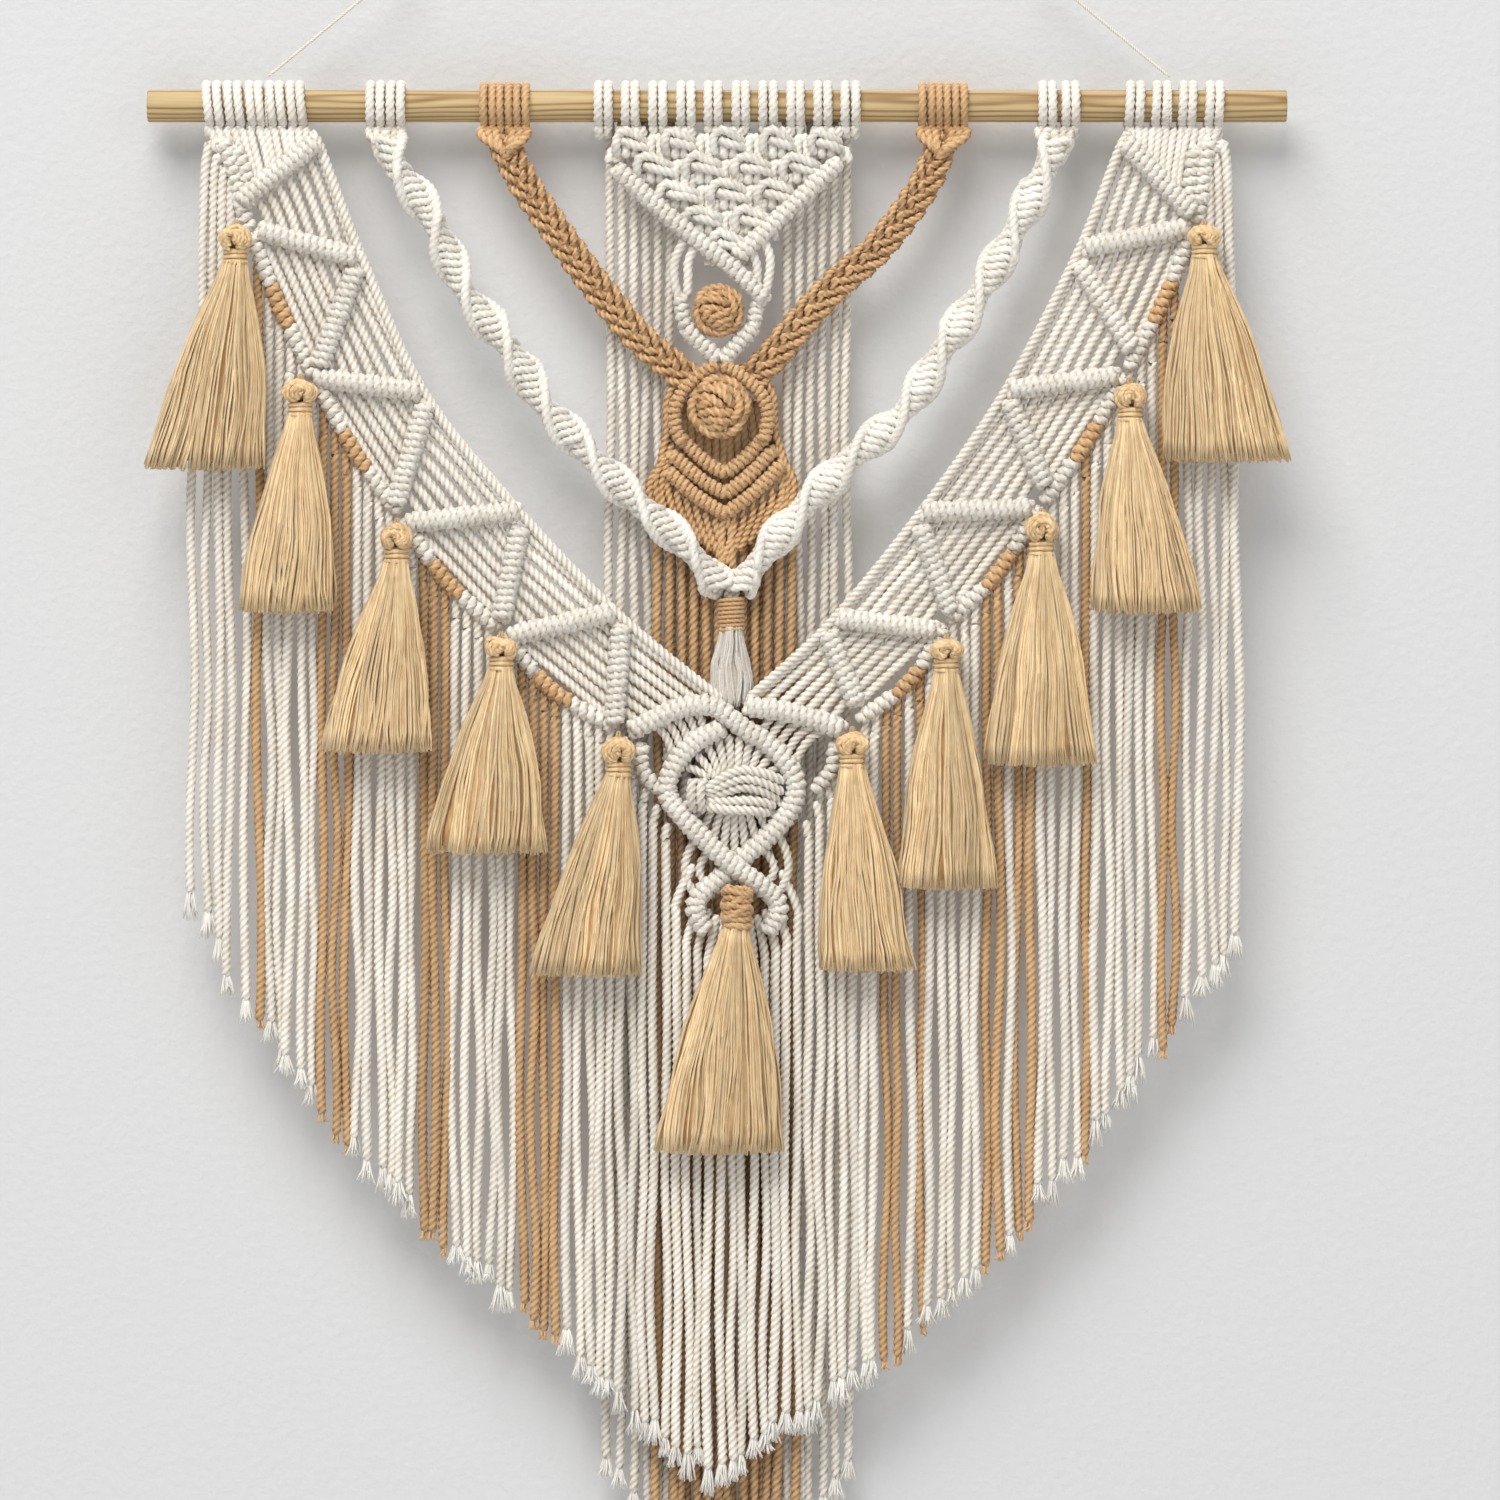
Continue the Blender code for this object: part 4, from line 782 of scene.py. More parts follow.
def side_fringe(side, edge):
    sign = -1 if side == "left" else 1
    row = [at(edge[0][0], edge[0][1])]
    for span, (_, _, sag) in zip(edge_spans(edge, 0.0), edge[1:]):
        row += [span[1], span[2]] if sag else [span[2]]
    strip = beside(np.array(row), FRINGE_OFFSET)[:, [0, 2]]
    start, end = strip[0][0], strip[-1][0]
    count = int(abs(end - start) / FRINGE_PITCH)
    rows, strip = sorted((x, z) for x, _, z in row), strip[np.argsort(strip[:, 0])]
    paths = []
    for k in range(count + 1):
        x = start + (end - start) * k / count
        out = max(0, FRINGE_CORDS_BESIDE - k) / FRINGE_CORDS_BESIDE
        hem_x = x + sign * FRINGE_SWING * out
        hem = (hem_x, height_at(FRINGE_HEM, hem_x))
        if k < FRINGE_CORDS_BESIDE:
            top, knee_x = -17.5 - 4.4 * k, start - sign * (1.1 + 3.4 * k)
            root_x = np.interp(top, *zip(*[(z, x) for x, z in FIRST_ROWS[side][0]][::-1]))
            paths.append([(root_x - sign * 1.0, top), (0.45 * root_x + 0.55 * knee_x, top - 0.4),
                          (knee_x, top - 6.0), (0.6 * knee_x + 0.4 * hem_x, -120.0), hem])
        else:
            paths.append([(x, height_at(rows, x) - 1.0), (x, height_at(strip, x) - 4.0), hem])
    fringe(f"fringe_cords_{side}", paths, f"fringe_{side}")


CENTRE_STRIP = [(-38.6, -259), (-31, -277), (-21, -293), (-17, -312), (-15.6, -330), (-5, -339), (8, -341),
                (21, -339), (31.6, -330), (33, -312), (36.4, -293), (45.6, -277), (54.4, -259)]
side_fringe("left", LEFT_EDGE)
side_fringe("right", RIGHT_EDGE)
centre_count = int((CENTRE_STRIP[-1][0] - CENTRE_STRIP[0][0]) / FRINGE_PITCH)
centre_paths = []
for x in np.linspace(CENTRE_STRIP[0][0], CENTRE_STRIP[-1][0], centre_count + 1):
    top = height_at(CENTRE_STRIP, x)
    drawn_in, rise = (0.72, 15.0) if abs(x - 7.9) < 27.0 else (0.95, 6.0)
    centre_paths.append([(7.9 + (x - 7.9) * drawn_in, top + rise), (x, top - 1.0),
                         (x, height_at(FRINGE_HEM, x))])
fringe("fringe_cords_centre", centre_paths, "fringe_centre")

# %% [markdown]
# ## The long tails
# The cords of the centre panel go on behind everything and hang below the point of the fringe: ivory ones
# at both sides, and the ends of the tan braids between them. They are hung as the fringe is, but deeper, so
# that they nearly touch the wall. The tan ones get a darker tone as painted shade, and eight cords painted
# darker still close the gaps between them.

# %% Hang the ivory and the tan tails
PANEL_TAIL_Y, TAN_TAIL_Y = 3.6, -1.2
PANEL_TAIL_X = (-43, -38.2, -33.4, -28.6, -23.8, -19, 28, 32.8, 37.6, 42.4, 47.2, 52)
PANEL_TAIL_END = (-552, -556, -566, -574, -582, -590, -590, -583, -576, -568, -560, -553)
TAN_TAIL_STRIP = [(-24, -151.6), (3, -170.4), (30, -151.6)]
TAN_TAIL_CORDS, TAN_TAIL_END, TAN_TAIL_SLOPE = 12, -594.0, 2.2


def tail(skein, x, top, end, y, combed):
    """A cord straight down behind the rest, loose only below."""
    layer = chance.uniform(-0.5, 0.5)
    # Combed cords keep their own tone; the tan ones get the darker tone of painted shade.
    hang(skein, np.array([at(x, top, y), at(x, top - 20, y), at(x, 0.5 * (top + end), y + layer),
                          at(x + chance.normal(0, 0.6), end + (TUFT_LONG if combed else 3.0), y + layer)]),
         1.0, combed, 2.0, 0.0 if combed else TAN_DEEP)


ivory_tail, tan_tail = Skein(), Skein()
for x, end in zip(PANEL_TAIL_X, PANEL_TAIL_END):
    tail(ivory_tail, x, HEADER_Z + 5.0, end, PANEL_TAIL_Y, True)
for k in range(TAN_TAIL_CORDS):
    x = TAN_TAIL_STRIP[0][0] + (TAN_TAIL_STRIP[-1][0] - TAN_TAIL_STRIP[0][0]) * k / (TAN_TAIL_CORDS - 1)
    tail(tan_tail, x, height_at(TAN_TAIL_STRIP, x),
         TAN_TAIL_END + TAN_TAIL_SLOPE * abs(k - (TAN_TAIL_CORDS - 1) / 2),
         TAN_TAIL_Y, False)
# Eight cords behind, darker still, as painted shade.
for x in np.linspace(TAN_TAIL_STRIP[0][0], TAN_TAIL_STRIP[-1][0], 10)[1:-1]:
    tan_tail.lay(line([(x, -172.0), (x, TAN_TAIL_END + 12.0)], TAN_TAIL_Y + 3.4), step=2.2,
                 tone=2 * TAN_DEEP)
make_piece(ivory_tail, "panel_tail_cords", ivory_cotton, "ivory_cord", "panel_tail")
make_piece(tan_tail, "tan_tail_cords", tan_cotton, "tan_cord", "tan_tail")

# %% [markdown]
# ## Square knots
# The centre panel is a field of alternating square knots. A square knot is two half knots, each of which
# shows as a band of cord that crosses the two filler cords in the middle, the second tipped the other way.
# So one knot is two slanting bands over two short fillers, with a hook at the left where their cords change
# places, and four short cords join it to its neighbours in the row below. Rows of five, four, three, two
# and one make the triangle.

# %% Tie the field of square knots
PANEL_Y, PANEL_ROWS, KNOT_PITCH, KNOT_FALL = -4.2, 5, 19.6, 10.3
FIRST_KNOT_X, FIRST_KNOT_Z, PANEL_CORD = -34.5, -15.0, 2.05


def square_knot(skein, x, z, wide, y=PANEL_Y):
    """Two half knots over two fillers, with the hook at the left where their cords change places."""
    # A darker tone for the knot's cords, as painted shade.
    tone = chance.normal(-1.8, 1.0)
    front, back = y - 3.4, y + 1.4
    shift, tip = chance.normal(0.0, 0.25), chance.normal(0.0, 0.35)
    upper = [(-0.85, -5.0, y - 0.5), (-1.0, -1.0, y - 2.2), (-0.85, 3.2, front + 0.4), (-0.45, 4.7, front),
             (0.05, 3.2 + tip, front), (0.55, 1.6 + tip, front + 0.5), (0.85, 0.2, y), (0.8, -0.6, back)]
    lower = [(-0.6, 1.0, y - 1.2), (-0.3, 0.1, front), (0.3, -1.1 - tip, front), (0.8, -1.9, y - 2.2),
             (1.05, -3.2, y)]
    for points in (upper, lower):
        track = np.array([at(x + share * wide, z + height + shift, depth)
                          for share, height, depth in points])
        track += chance.normal(0.0, 0.42, track.shape)
        # beside adds painted shade on the flanks.
        skein.lay(smooth(track, 1.0), PANEL_CORD, np.array([0.0, 1.0, 0.3]), step=0.9, tone=tone, cut=0.2,
                  beside=0.25)
    # The fillers get a lighter tone as painted light.
    for fill in (-1.9, 1.9):
        skein.lay(line([(x + fill, z + 6.0), (x + fill, z - 6.4)], y - 0.6), PANEL_CORD, tone=tone + 1.5,
                  cut=0.15)


def link(skein, start, end, y, cord=PANEL_CORD, tone=None):
    """A short cord between two knots."""
    # beside adds painted shade on the link's flanks.
    skein.lay(bowed(at(*start, y), at(*end, y), chance.normal(0.0, 0.3)), cord, tone=tone, cut=0.2,
              beside=0.3)


def work_panel():
    skein = Skein()
    for row in range(PANEL_ROWS):
        for k in range(PANEL_ROWS - row):
            x = FIRST_KNOT_X + KNOT_PITCH * (k + row / 2)
            z = FIRST_KNOT_Z - KNOT_FALL * row
            square_knot(skein, x, z, 6.2 if row == 0 else 7.9)
            for side in (-1, 1):
                for near, far in ((4.4, 6.4), (6.6, 9.2)):
                    link(skein, (x + side * near, z - 1.6), (x + side * far, z - 8.4), PANEL_Y + 0.6)
                if k < PANEL_ROWS - 1 - row:
                    middle = x + KNOT_PITCH / 2
                    skein.lay(line([(middle + side * 0.7, z + 3.6), (middle + side * 1.9, z - 1.0),
                                    (middle + side * 2.1, z - 7.0)], PANEL_Y - 0.6), PANEL_CORD, tone=1.0,
                                    cut=0.2)
                if row == 0:
                    skein.lay(line([(x + side * 4.8, z + 1.5), (x + side * 4.6, z + 6.5)], PANEL_Y),
                              PANEL_CORD)
                    skein.lay(line([(x + side * 1.8, z + 3.0), (x + side * 1.8, z + 6.5)], PANEL_Y),
                              PANEL_CORD)
    return skein


PANEL_BAR_WIDTH, DIAMOND_BAR_WIDTH, BAR_STAGGER = 4.2, 4.1, 0.3
PANEL_BARS = [[(-40.6, -25.6), (-17.9, -46.1), (1.6, -61.6), (12.9, -71.6), (19.6, -78.4)],
              [(48.6, -22.8), (28.3, -42.2), (7.6, -61.2)]]
DIAMOND_BARS = [[(17.4, -75.0), (15.8, -82.0), (14.2, -89.0)],
                [(-14.4, -76.0), (-14.0, -83.0), (-12.4, -89.6)],
                [(14.6, -88.6), (1.4, -103.4)], [(-12.7, -89.2), (0.8, -102.6)]]
PANEL_LOOPS = [[(-12.6, -53), (-16.8, -62), (-17.0, -71), (-14.8, -79)],
               [(-8.6, -56), (-11.4, -62.6), (-11.6, -69), (-11.8, -77)],
               [(17.6, -52), (21.2, -61), (20.4, -71), (18.0, -80)],
               [(12.6, -57), (15.6, -63), (16.0, -70), (15.6, -77)]]
panel = work_panel()
for i, points in enumerate(PANEL_BARS):
    coil(panel, smooth(line(points, PANEL_Y - 4.6 - BAR_STAGGER * (1 - i))), PANEL_BAR_WIDTH, 3.6)
for i, points in enumerate(DIAMOND_BARS):
    coil(panel, smooth(line(points, PANEL_Y - 3.2 - BAR_STAGGER * i)), DIAMOND_BAR_WIDTH if i > 1 else 3.5,
         3.3, cord=1.9)
for points in PANEL_LOOPS:
    panel.lay(smooth(line(points, PANEL_Y - 3.0)), 2.0, cut=0.24)
make_piece(panel, "square_knot_panel", ivory_cotton, "ivory_cord", "centre_panel")

# %% [markdown]
# ## Berry knots
# A berry is a run of square knots that is rolled up and tied through, so it stands out as a round boss.
# What shows is a few arcs round the outside, and inside them the short bulging turns of the knots, each
# tipped its own way. They are drawn on a flat disc and then lifted on to a dome, where their ends dive
# under one another.

# %% Roll the berries
SMALL_BERRY = {"x": 0.6, "z": -82.6, "radius": 10.9, "depth": 7.0, "y": PANEL_Y - 2.6, "cord": 1.7}
LARGE_BERRY = {"x": 0.9, "z": -121.2, "radius": 13.0, "depth": 8.6, "y": PANEL_Y - 2.8, "cord": 2.0}
BERRY_TURNS = [
    (0.0, [(-0.84, -0.28), (-0.82, 0.12), (-0.62, 0.50)]),
    (0.3, [(-0.66, 0.40), (-0.30, 0.82), (0.14, 0.84)]),
    (0.0, [(-0.02, 0.88), (0.42, 0.74), (0.72, 0.44)]), (0.2, [(0.62, 0.56), (0.86, 0.10), (0.70, -0.40)]),
    (0.4, [(0.38, 0.60), (0.62, 0.22), (0.56, -0.22), (0.28, -0.50)]),
    (0.0, [(0.76, -0.20), (0.52, -0.66), (0.06, -0.86)]),
    (0.2, [(0.20, -0.80), (-0.30, -0.80), (-0.68, -0.50)]),
    (0.0, [(-0.56, -0.66), (-0.80, -0.30), (-0.84, 0.02)]),
    (0.9, [(-0.52, 0.56), (-0.16, 0.56), (0.18, 0.34), (0.40, 0.04)]),
    (0.8, [(-0.16, 0.66), (0.14, 0.60), (0.40, 0.42)]),
    (0.5, [(-0.62, 0.24), (-0.36, 0.30), (-0.06, 0.10), (0.14, -0.10)]),
    (0.6, [(-0.60, -0.02), (-0.42, 0.10), (-0.22, 0.08)]),
    (0.8, [(-0.56, -0.20), (-0.22, -0.14), (0.14, -0.22), (0.36, -0.16)]),
    (0.6, [(-0.50, -0.42), (-0.18, -0.38), (0.14, -0.46), (0.38, -0.40)]),
    (0.3, [(-0.40, -0.62), (-0.08, -0.58), (0.22, -0.64)])]


def berry(skein, x, z, radius, depth, y, cord, turned):
    """A boss with turns of cord round its rim and short bulging stitches over its top."""
    def over(dx, dz, lift=0.0):
        far = np.clip((dx ** 2 + dz ** 2) / radius ** 2, 0.0, 1.0)
        return np.column_stack([x + dx, y - (depth + lift - cord) * np.sqrt(1.0 - 0.9 * far), z + dz])

    ring = np.linspace(0.0, 2 * math.pi, 17)[:-1]
    core = radius - 1.5 * cord
    rings = []
    for height in np.linspace(-0.96, 0.96, 9):
        reach = math.sqrt(1 - height ** 2)
        rings.append(np.column_stack([x + core * reach * np.cos(ring),
                                      y + 0.8 * depth * reach * np.sin(ring),
                                      np.full(16, z + core * height)]))
    # The core is painted in shade.
    skein.add(np.array(rings), 1.0)
    for proud, turn in BERRY_TURNS:
        flat = smooth(line([(radius * dx, radius * dz) for dx, dz in turn], 0.0), 1.0)
        path = over(flat[:, 0] * math.cos(turned) - flat[:, 2] * math.sin(turned),
                    flat[:, 0] * math.sin(turned) + flat[:, 2] * math.cos(turned), 1.6 * proud)
        share = np.linspace(-1.0, 1.0, len(path))
        path[:, 1] += 3.2 * share ** 4 - 0.6
        # Prouder turns get a lighter tone as painted light, and beside adds painted shade on their flanks.
        skein.lay(path, cord * 1.1, step=0.95, tone=chance.normal(1.6 * proud, 0.8), cut=0.22, beside=0.8)


small_berry = Skein()
berry(small_berry, turned=0.5, **SMALL_BERRY)
make_piece(small_berry, "small_berry_knot", tan_cotton, "tan_cord", "berry_small")

# %% [markdown]
# ## Herringbone braids
# Two tan braids run from the dowel to the tan diamond. Each is a plain three-strand plait with two cords to
# a strand, which gives the herringbone. One strand swings from side to side as a sine and goes over and
# under at twice that pace, and the other two strands do the same a third of a turn later.

# %% Plait the tan braids
BRAID_Y, BRAID_SWING, BRAID_LIFT, BRAID_PERIOD, BRAID_CORD = -4.8, 3.4, 1.7, 22.6, 1.85
COLLARS = {"braid_left": (1.6, 2.6, 9.4, 2.1), "braid_right": (-0.4, -2.2, 9.4, 2.1),
           "spiral_left": (-1.2, 0.8, 6.6, 1.9), "spiral_right": (-1.2, -1.4, 6.6, 1.9)}
BRAIDS = {
    "braid_left": [(-86.8, -12.4), (-78, -30), (-62.8, -52.4), (-46.8, -74.4), (-30.8, -93.4),
                   (-19.0, -103.4), (-9.0, -111.5)],
    "braid_right": [(91.2, -12.4), (83.2, -32), (65.2, -56.4), (45.2, -74.4), (29.2, -92.4), (19.6, -103.8),
                    (10.8, -111.5)],
}


def plait(skein, points, y):
    core, run = walk(smooth(line(points, y)), 0.8)
    ahead = unit(np.gradient(core, axis=0))
    side = unit(np.cross(AWAY, ahead))
    for strand in range(3):
        phase = 2 * math.pi * (run / BRAID_PERIOD + strand / 3)
        swing = BRAID_SWING * np.sin(phase)
        lift = BRAID_LIFT * np.sin(2 * phase)
        route = core + side * swing[:, None] + np.outer(lift, AWAY)
        square = unit(np.cross(AWAY, unit(np.gradient(route, axis=0))))
        for half in (-1, 1):
            # beside adds painted shade where the cords lie side by side.
            skein.lay(route + square * half * BRAID_CORD * 0.96, BRAID_CORD, step=1.1, cut=0.25, beside=0.8)


def gather(skein, name, first):
    """The collar of cords that draws in from the lark's heads to the first knot."""
    shift, foot_shift, wide, cord = COLLARS[name]
    x, foot_x = first + shift, first + foot_shift
    for side in (-1, 1):
        for k in range(3):
            out = side * (wide - 3.0 * k)
            path = [at(x + out, -9.4, -3.0), at(x + 0.94 * out, -12.6 - 0.3 * k, -6.6),
                    at(0.5 * (x + foot_x) + 0.42 * out, -16.4 - 0.8 * k, -7.6 - 0.5 * (side > 0)),
                    at(foot_x - 0.12 * out, -19.6 - 1.0 * k, -5.6)]
            # beside adds painted shade where the cords lie side by side.
            skein.lay(smooth(np.array(path)), cord, step=1.0, cut=0.22, beside=0.8)


for name, points in BRAIDS.items():
    skein = Skein()
    plait(skein, points, BRAID_Y)
    gather(skein, name, points[0][0])
    make_piece(skein, "herringbone_" + name, tan_cotton, "tan_cord", name)

# %% [markdown]
# ## Half-knot spirals
# A half knot tied again and again, always with the same hand, turns its row of knots round the fillers like
# a screw. On the outside that is a cord wound closely round an oval core whose long side turns slowly: 56
# mm of the run to a full turn. The coil of the bars does this when its full turn is given, and one more
# cord along each edge stands for the row of bends that the knots leave there.

# %% Wind the spirals
SPIRAL_Y, SPIRAL_TURN, SPIRAL_END_BACK = -9.6, 56.0, 2.4
WRAP_WIDE, WRAP_THIN, WRAP_CORD, WRAP_LEAN, EDGE_REACH, EDGE_CORD = 7.4, 4.8, 1.85, 2.5, 5.8, 2.05
SPIRALS = {
    "spiral_left": [(-131.6, -13.4), (-128.8, -24.4), (-114.8, -44.4), (-100.8, -74.4), (-82.8, -98.4),
                    (-68.8, -120.4), (-50.8, -140.4), (-30.8, -160.4), (-14.8, -174.4), (2, -193.6)],
    "spiral_right": [(136.4, -13.4), (129.2, -30.4), (117.2, -54.4), (103.2, -78.4), (89.2, -100.4),
                     (75.2, -122.4), (53.2, -142.4), (33.2, -162.4), (17.2, -182.4), (9.4, -193.6)],
}


def wind_spiral(skein, path, full_turn):
    """Leaning wraps round a core that turns, and a cord along each of its two edges."""
    # above adds painted shade in the crevices between the wraps.
    coil(skein, path, WRAP_WIDE, WRAP_THIN, WRAP_CORD, 2.9, full_turn, WRAP_LEAN * np.sign(full_turn), 0.13,
         above=0.35)
    core, run = walk(path, 1.2)
    ahead = unit(np.gradient(core, axis=0))
    side = unit(np.cross(AWAY, ahead))
    spin = (2 * math.pi * run / full_turn)[:, None]
    wide_way = side * np.cos(spin) + np.cross(ahead, side) * np.sin(spin)
    narrow = np.clip(np.minimum(run + 10.0, run[-1] - run) / 14.0, 0.35, 1.0)[:, None]
    for edge in (-1, 1):
        skein.lay(core + edge * EDGE_REACH * narrow * wide_way, EDGE_CORD, cut=0.2)


for name, points in SPIRALS.items():
    path = line(points, SPIRAL_Y)
    path[[0, -1], 1] += SPIRAL_END_BACK
    skein = Skein()
    wind_spiral(skein, smooth(path), SPIRAL_TURN if name.endswith("left") else -SPIRAL_TURN)
    gather(skein, name, points[0][0])
    make_piece(skein, "half_knot_" + name, ivory_cotton, "ivory_cord", name)

# %% [markdown]
# ## The tan centre
# The braids end in a diamond of hitched bars with the large berry in it, and below it three chevrons, one
# inside the other. Each chevron is two bars that meet in the middle. From the lowest one a dozen cords
# curve in before they hang down as the tail. Two layers of cords in a dark tone, as painted shade, close the
# gaps behind.

# %% Work the tan diamond and its chevrons
TAN_BAR_WIDTH, TAN_BAR_DEPTH, TAN_BAR_CORD, TAN_BAR_PITCH = 3.3, 3.0, 1.55, 2.45
TAN_RIM = [[(0.7, -103.6), (-6.6, -108.4), (-13.4, -114.6), (-17.0, -122.4), (-16.4, -130.0),
            (-14.2, -135.0)],
           [(1.6, -103.8), (8.6, -108.2), (16.2, -114.4), (20.2, -122.2), (19.8, -130.0), (18.2, -135.0)]]
CHEVRONS = [((-14.6, -133.6), (2.9, -147.6), (18.6, -133.6)),
            ((-18.6, -139.6), (3.2, -155.8), (22.8, -138.0)),
            ((-19.8, -146.6), (3.2, -163.8), (26.2, -143.8))]
SIDE_CORDS = [[(-14.0, -108.6), (-19.0, -115.6), (-20.2, -123), (-20.0, -131), (-21.6, -138),
               (-22.8, -144.6), (-24.6, -150), (-24.0, -157), (-22.6, -166)],
              [(-17.6, -136), (-21.6, -143.0), (-26.0, -149.4), (-27.2, -155), (-25.6, -162), (-24.0, -168)],
              [(-18.6, -141.5), (-21.4, -148.0), (-22.2, -156), (-20.6, -166)],
              [(17.0, -108.2), (22.0, -115.0), (22.9, -123), (23.2, -131), (25.4, -138), (27.4, -144.4),
               (28.4, -150), (28.0, -157), (26.6, -166)],
              [(22.0, -136), (26.2, -142.4), (30.0, -148.4), (30.8, -154), (29.4, -161), (28.0, -168)],
              [(24.2, -141.0), (26.2, -148.0), (26.4, -156), (24.8, -166)]]
tan_centre = Skein()
berry(tan_centre, turned=0.0, **LARGE_BERRY)
for i, points in enumerate(TAN_RIM):
    coil(tan_centre, smooth(line(points, PANEL_Y - 4.2 - 0.4 * i)), TAN_BAR_WIDTH, TAN_BAR_DEPTH,
         TAN_BAR_CORD, TAN_BAR_PITCH)
for i, (left, foot, right) in enumerate(CHEVRONS):
    y = PANEL_Y - 2.4 - BAR_STAGGER * i
    for end, bend in ((left, -1), (right, 1)):
        middle = (0.5 * (end[0] + foot[0]) - bend * 0.6, 0.5 * (end[1] + foot[1]) - 1.9)
        coil(tan_centre, smooth(line([end, middle, foot], y)), TAN_BAR_WIDTH, TAN_BAR_DEPTH, TAN_BAR_CORD,
             TAN_BAR_PITCH)
# beside adds painted shade on the flanks of the side cords.
for points in SIDE_CORDS:
    tan_centre.lay(smooth(line(points, PANEL_Y + 0.4)), 1.9, beside=0.8)
# Two layers of short cords behind, in a dark tone as painted shade.
for k in range(13):
    share = (k - 6) / 6
    link(tan_centre, (1.0 + share * 17.5, -110 - 10 * abs(share)),
         (2.6 + share * 19.0, -146 + 10 * abs(share)),
         PANEL_Y + 2.6, 1.9, SHADED)
for k in range(13):
    share = (k - 6) / 6
    link(tan_centre, (2.8 + share * 21.0, -143 + 8 * abs(share)),
         (3.2 + share * 22.0, -163 + 14 * abs(share)),
         PANEL_Y + 1.8, 2.0, SHADED)
print(len(CHEVRONS), "chevrons")

# %% Curve the cords out of the lowest chevron
for k in range(6):
    for side in (-1, 1):
        share = (k + 0.7) / 6
        x, z = 3.2 + side * share * 23.0, -164.4 + 17.0 * share
        loop = [(x - side * 1.5, z + 2.0), (x + side * 0.9, z - 3.6), (x + side * 0.5, z - 9.0),
                (x - side * 1.8, z - 15.5), (x - side * 4.6, z - 22.0)]
        # beside adds painted shade where the curved cords lie side by side.
        tan_centre.lay(smooth(line(loop, PANEL_Y - 0.4 + 0.3 * (k % 2))), 1.85, beside=0.9)
for shift in (-1.2, 2.4):
    tan_centre.lay(smooth(line([(3.0, -164), (3.2 + shift, -171), (3.2 + 1.2 * shift, -186)],
                               PANEL_Y - 0.8)), 1.8)
make_piece(tan_centre, "tan_diamond", tan_cotton, "tan_cord", "tan_centre")

# %% [markdown]
# ## The medallion
# Where the two halves of the band meet, their bars run on as a rounded diamond, cross below, and go on as a
# small open ring. A wrapped knot of a few cords lies across the middle, and cords fan out from it to the
# bars above and below. Every bar is a coil again; only the fan cords need their own depth, behind the bars.
# Nine thick cords in a dark tone, as painted shade, close the gaps behind them.

# %% Work the medallion
MEDALLION_BARS = [
    [(6.0, -246.4), (12.4, -250.6), (22, -257.2), (29.6, -266.4), (31.6, -275.2), (27.6, -284.8),
     (18.8, -294.4), (9.2, -302.4), (-0.4, -311.2), (-7.2, -317.0), (-8.4, -324), (-4.4, -330.6)],
    [(2.6, -249.2), (-6.8, -253.8), (-14.8, -261), (-19.6, -270.4), (-19.4, -277.6), (-12.4, -286.4),
     (-2.8, -296.4), (6, -304.2), (15.6, -311.2), (23.2, -317.6), (24.4, -324), (20, -330.8)]]
MEDALLION_ROWS = [[(-30, -256.0), (-30, -266.4), (-23.6, -274.4)],
                  [(47.0, -256.0), (46.0, -266.4), (39, -274.4)]]
RING_LOOPS = [[(-8.4, -293), (-12.2, -301.6), (-12.4, -309.5), (-8.8, -316.4)],
              [(-3.0, -298.5), (-6.6, -304), (-6.4, -309.5), (-3.4, -313.4)],
              [(24.0, -291), (28.0, -300), (28.2, -308.5), (24.6, -316)],
              [(18.4, -297.5), (22.4, -303.5), (22.2, -309), (18.6, -313)]]
medallion = Skein()
for i, points in enumerate(MEDALLION_BARS):
    path = line(points, BAND_Y - 1.2)
    path[5:9, 1] -= (0.0, 2.4)[i]
    coil(medallion, smooth(path), 4.7, 3.7)
for points in MEDALLION_ROWS:
    coil(medallion, smooth(line(points, BAND_Y - 0.2)), 3.7, 3.0, cord=1.9, pitch=3.4)
for sign, bar_top, bar_low in ((-1, (-26.0, -247.6, -8.0, -242.6), (-18.0, -268.0, -6.0, -254.6)),
                               (1, (44.0, -249.8, 24.0, -243.6), (31.0, -268.0, 17.0, -254.2))):
    for k in range(5):
        share = k / 4
        start = at(bar_top[0] + (bar_top[2] - bar_top[0]) * share,
                   bar_top[1] + (bar_top[3] - bar_top[1]) * share,
                   BAND_Y + 1.0)
        end = at(bar_low[0] + (bar_low[2] - bar_low[0]) * share,
                 bar_low[1] + (bar_low[3] - bar_low[1]) * share,
                 BAND_Y + 1.0)
        medallion.lay(bowed(start, end, sign * (3.4 - 2.2 * share) * (1 if start[2] > end[2] else -1)), 1.9)
middle_x = 7.0
for k in range(10):
    share = (k - 4.5) / 4.5
    medallion.lay(bowed(at(middle_x + share * 20.0, -252.0 - 13.0 * share ** 2, BAND_Y + 1.2),
                        at(middle_x + share * 10.0, -270.4, BAND_Y - 0.6), 0.8 * share), 1.9)
for k in range(11):
    share = (k - 5) / 5
    medallion.lay(bowed(at(middle_x + share * 7.0, -277.0 + 3.0 * abs(share), BAND_Y - 1.0),
                        at(middle_x + share * 22.0, -302.0 + 19.0 * abs(share) ** 1.2, BAND_Y + 1.2),
                        -1.2 * share), 1.9)
# Nine thick cords behind, in a dark tone as painted shade.
for k in range(9):
    x = -19.0 + 6.4 * k
    fall = 56.0 - 1.6 * abs(x - middle_x)
    medallion.lay(line([(x, -256.0), (x, -257.0 - fall)], BAND_Y + 5.2), 3.0, step=2.0, tone=BEHIND)
for points in RING_LOOPS:
    medallion.lay(smooth(line(points, BAND_Y + 1.2)), 1.95)
print("medallion bars cross near z", MEDALLION_BARS[0][7][1])

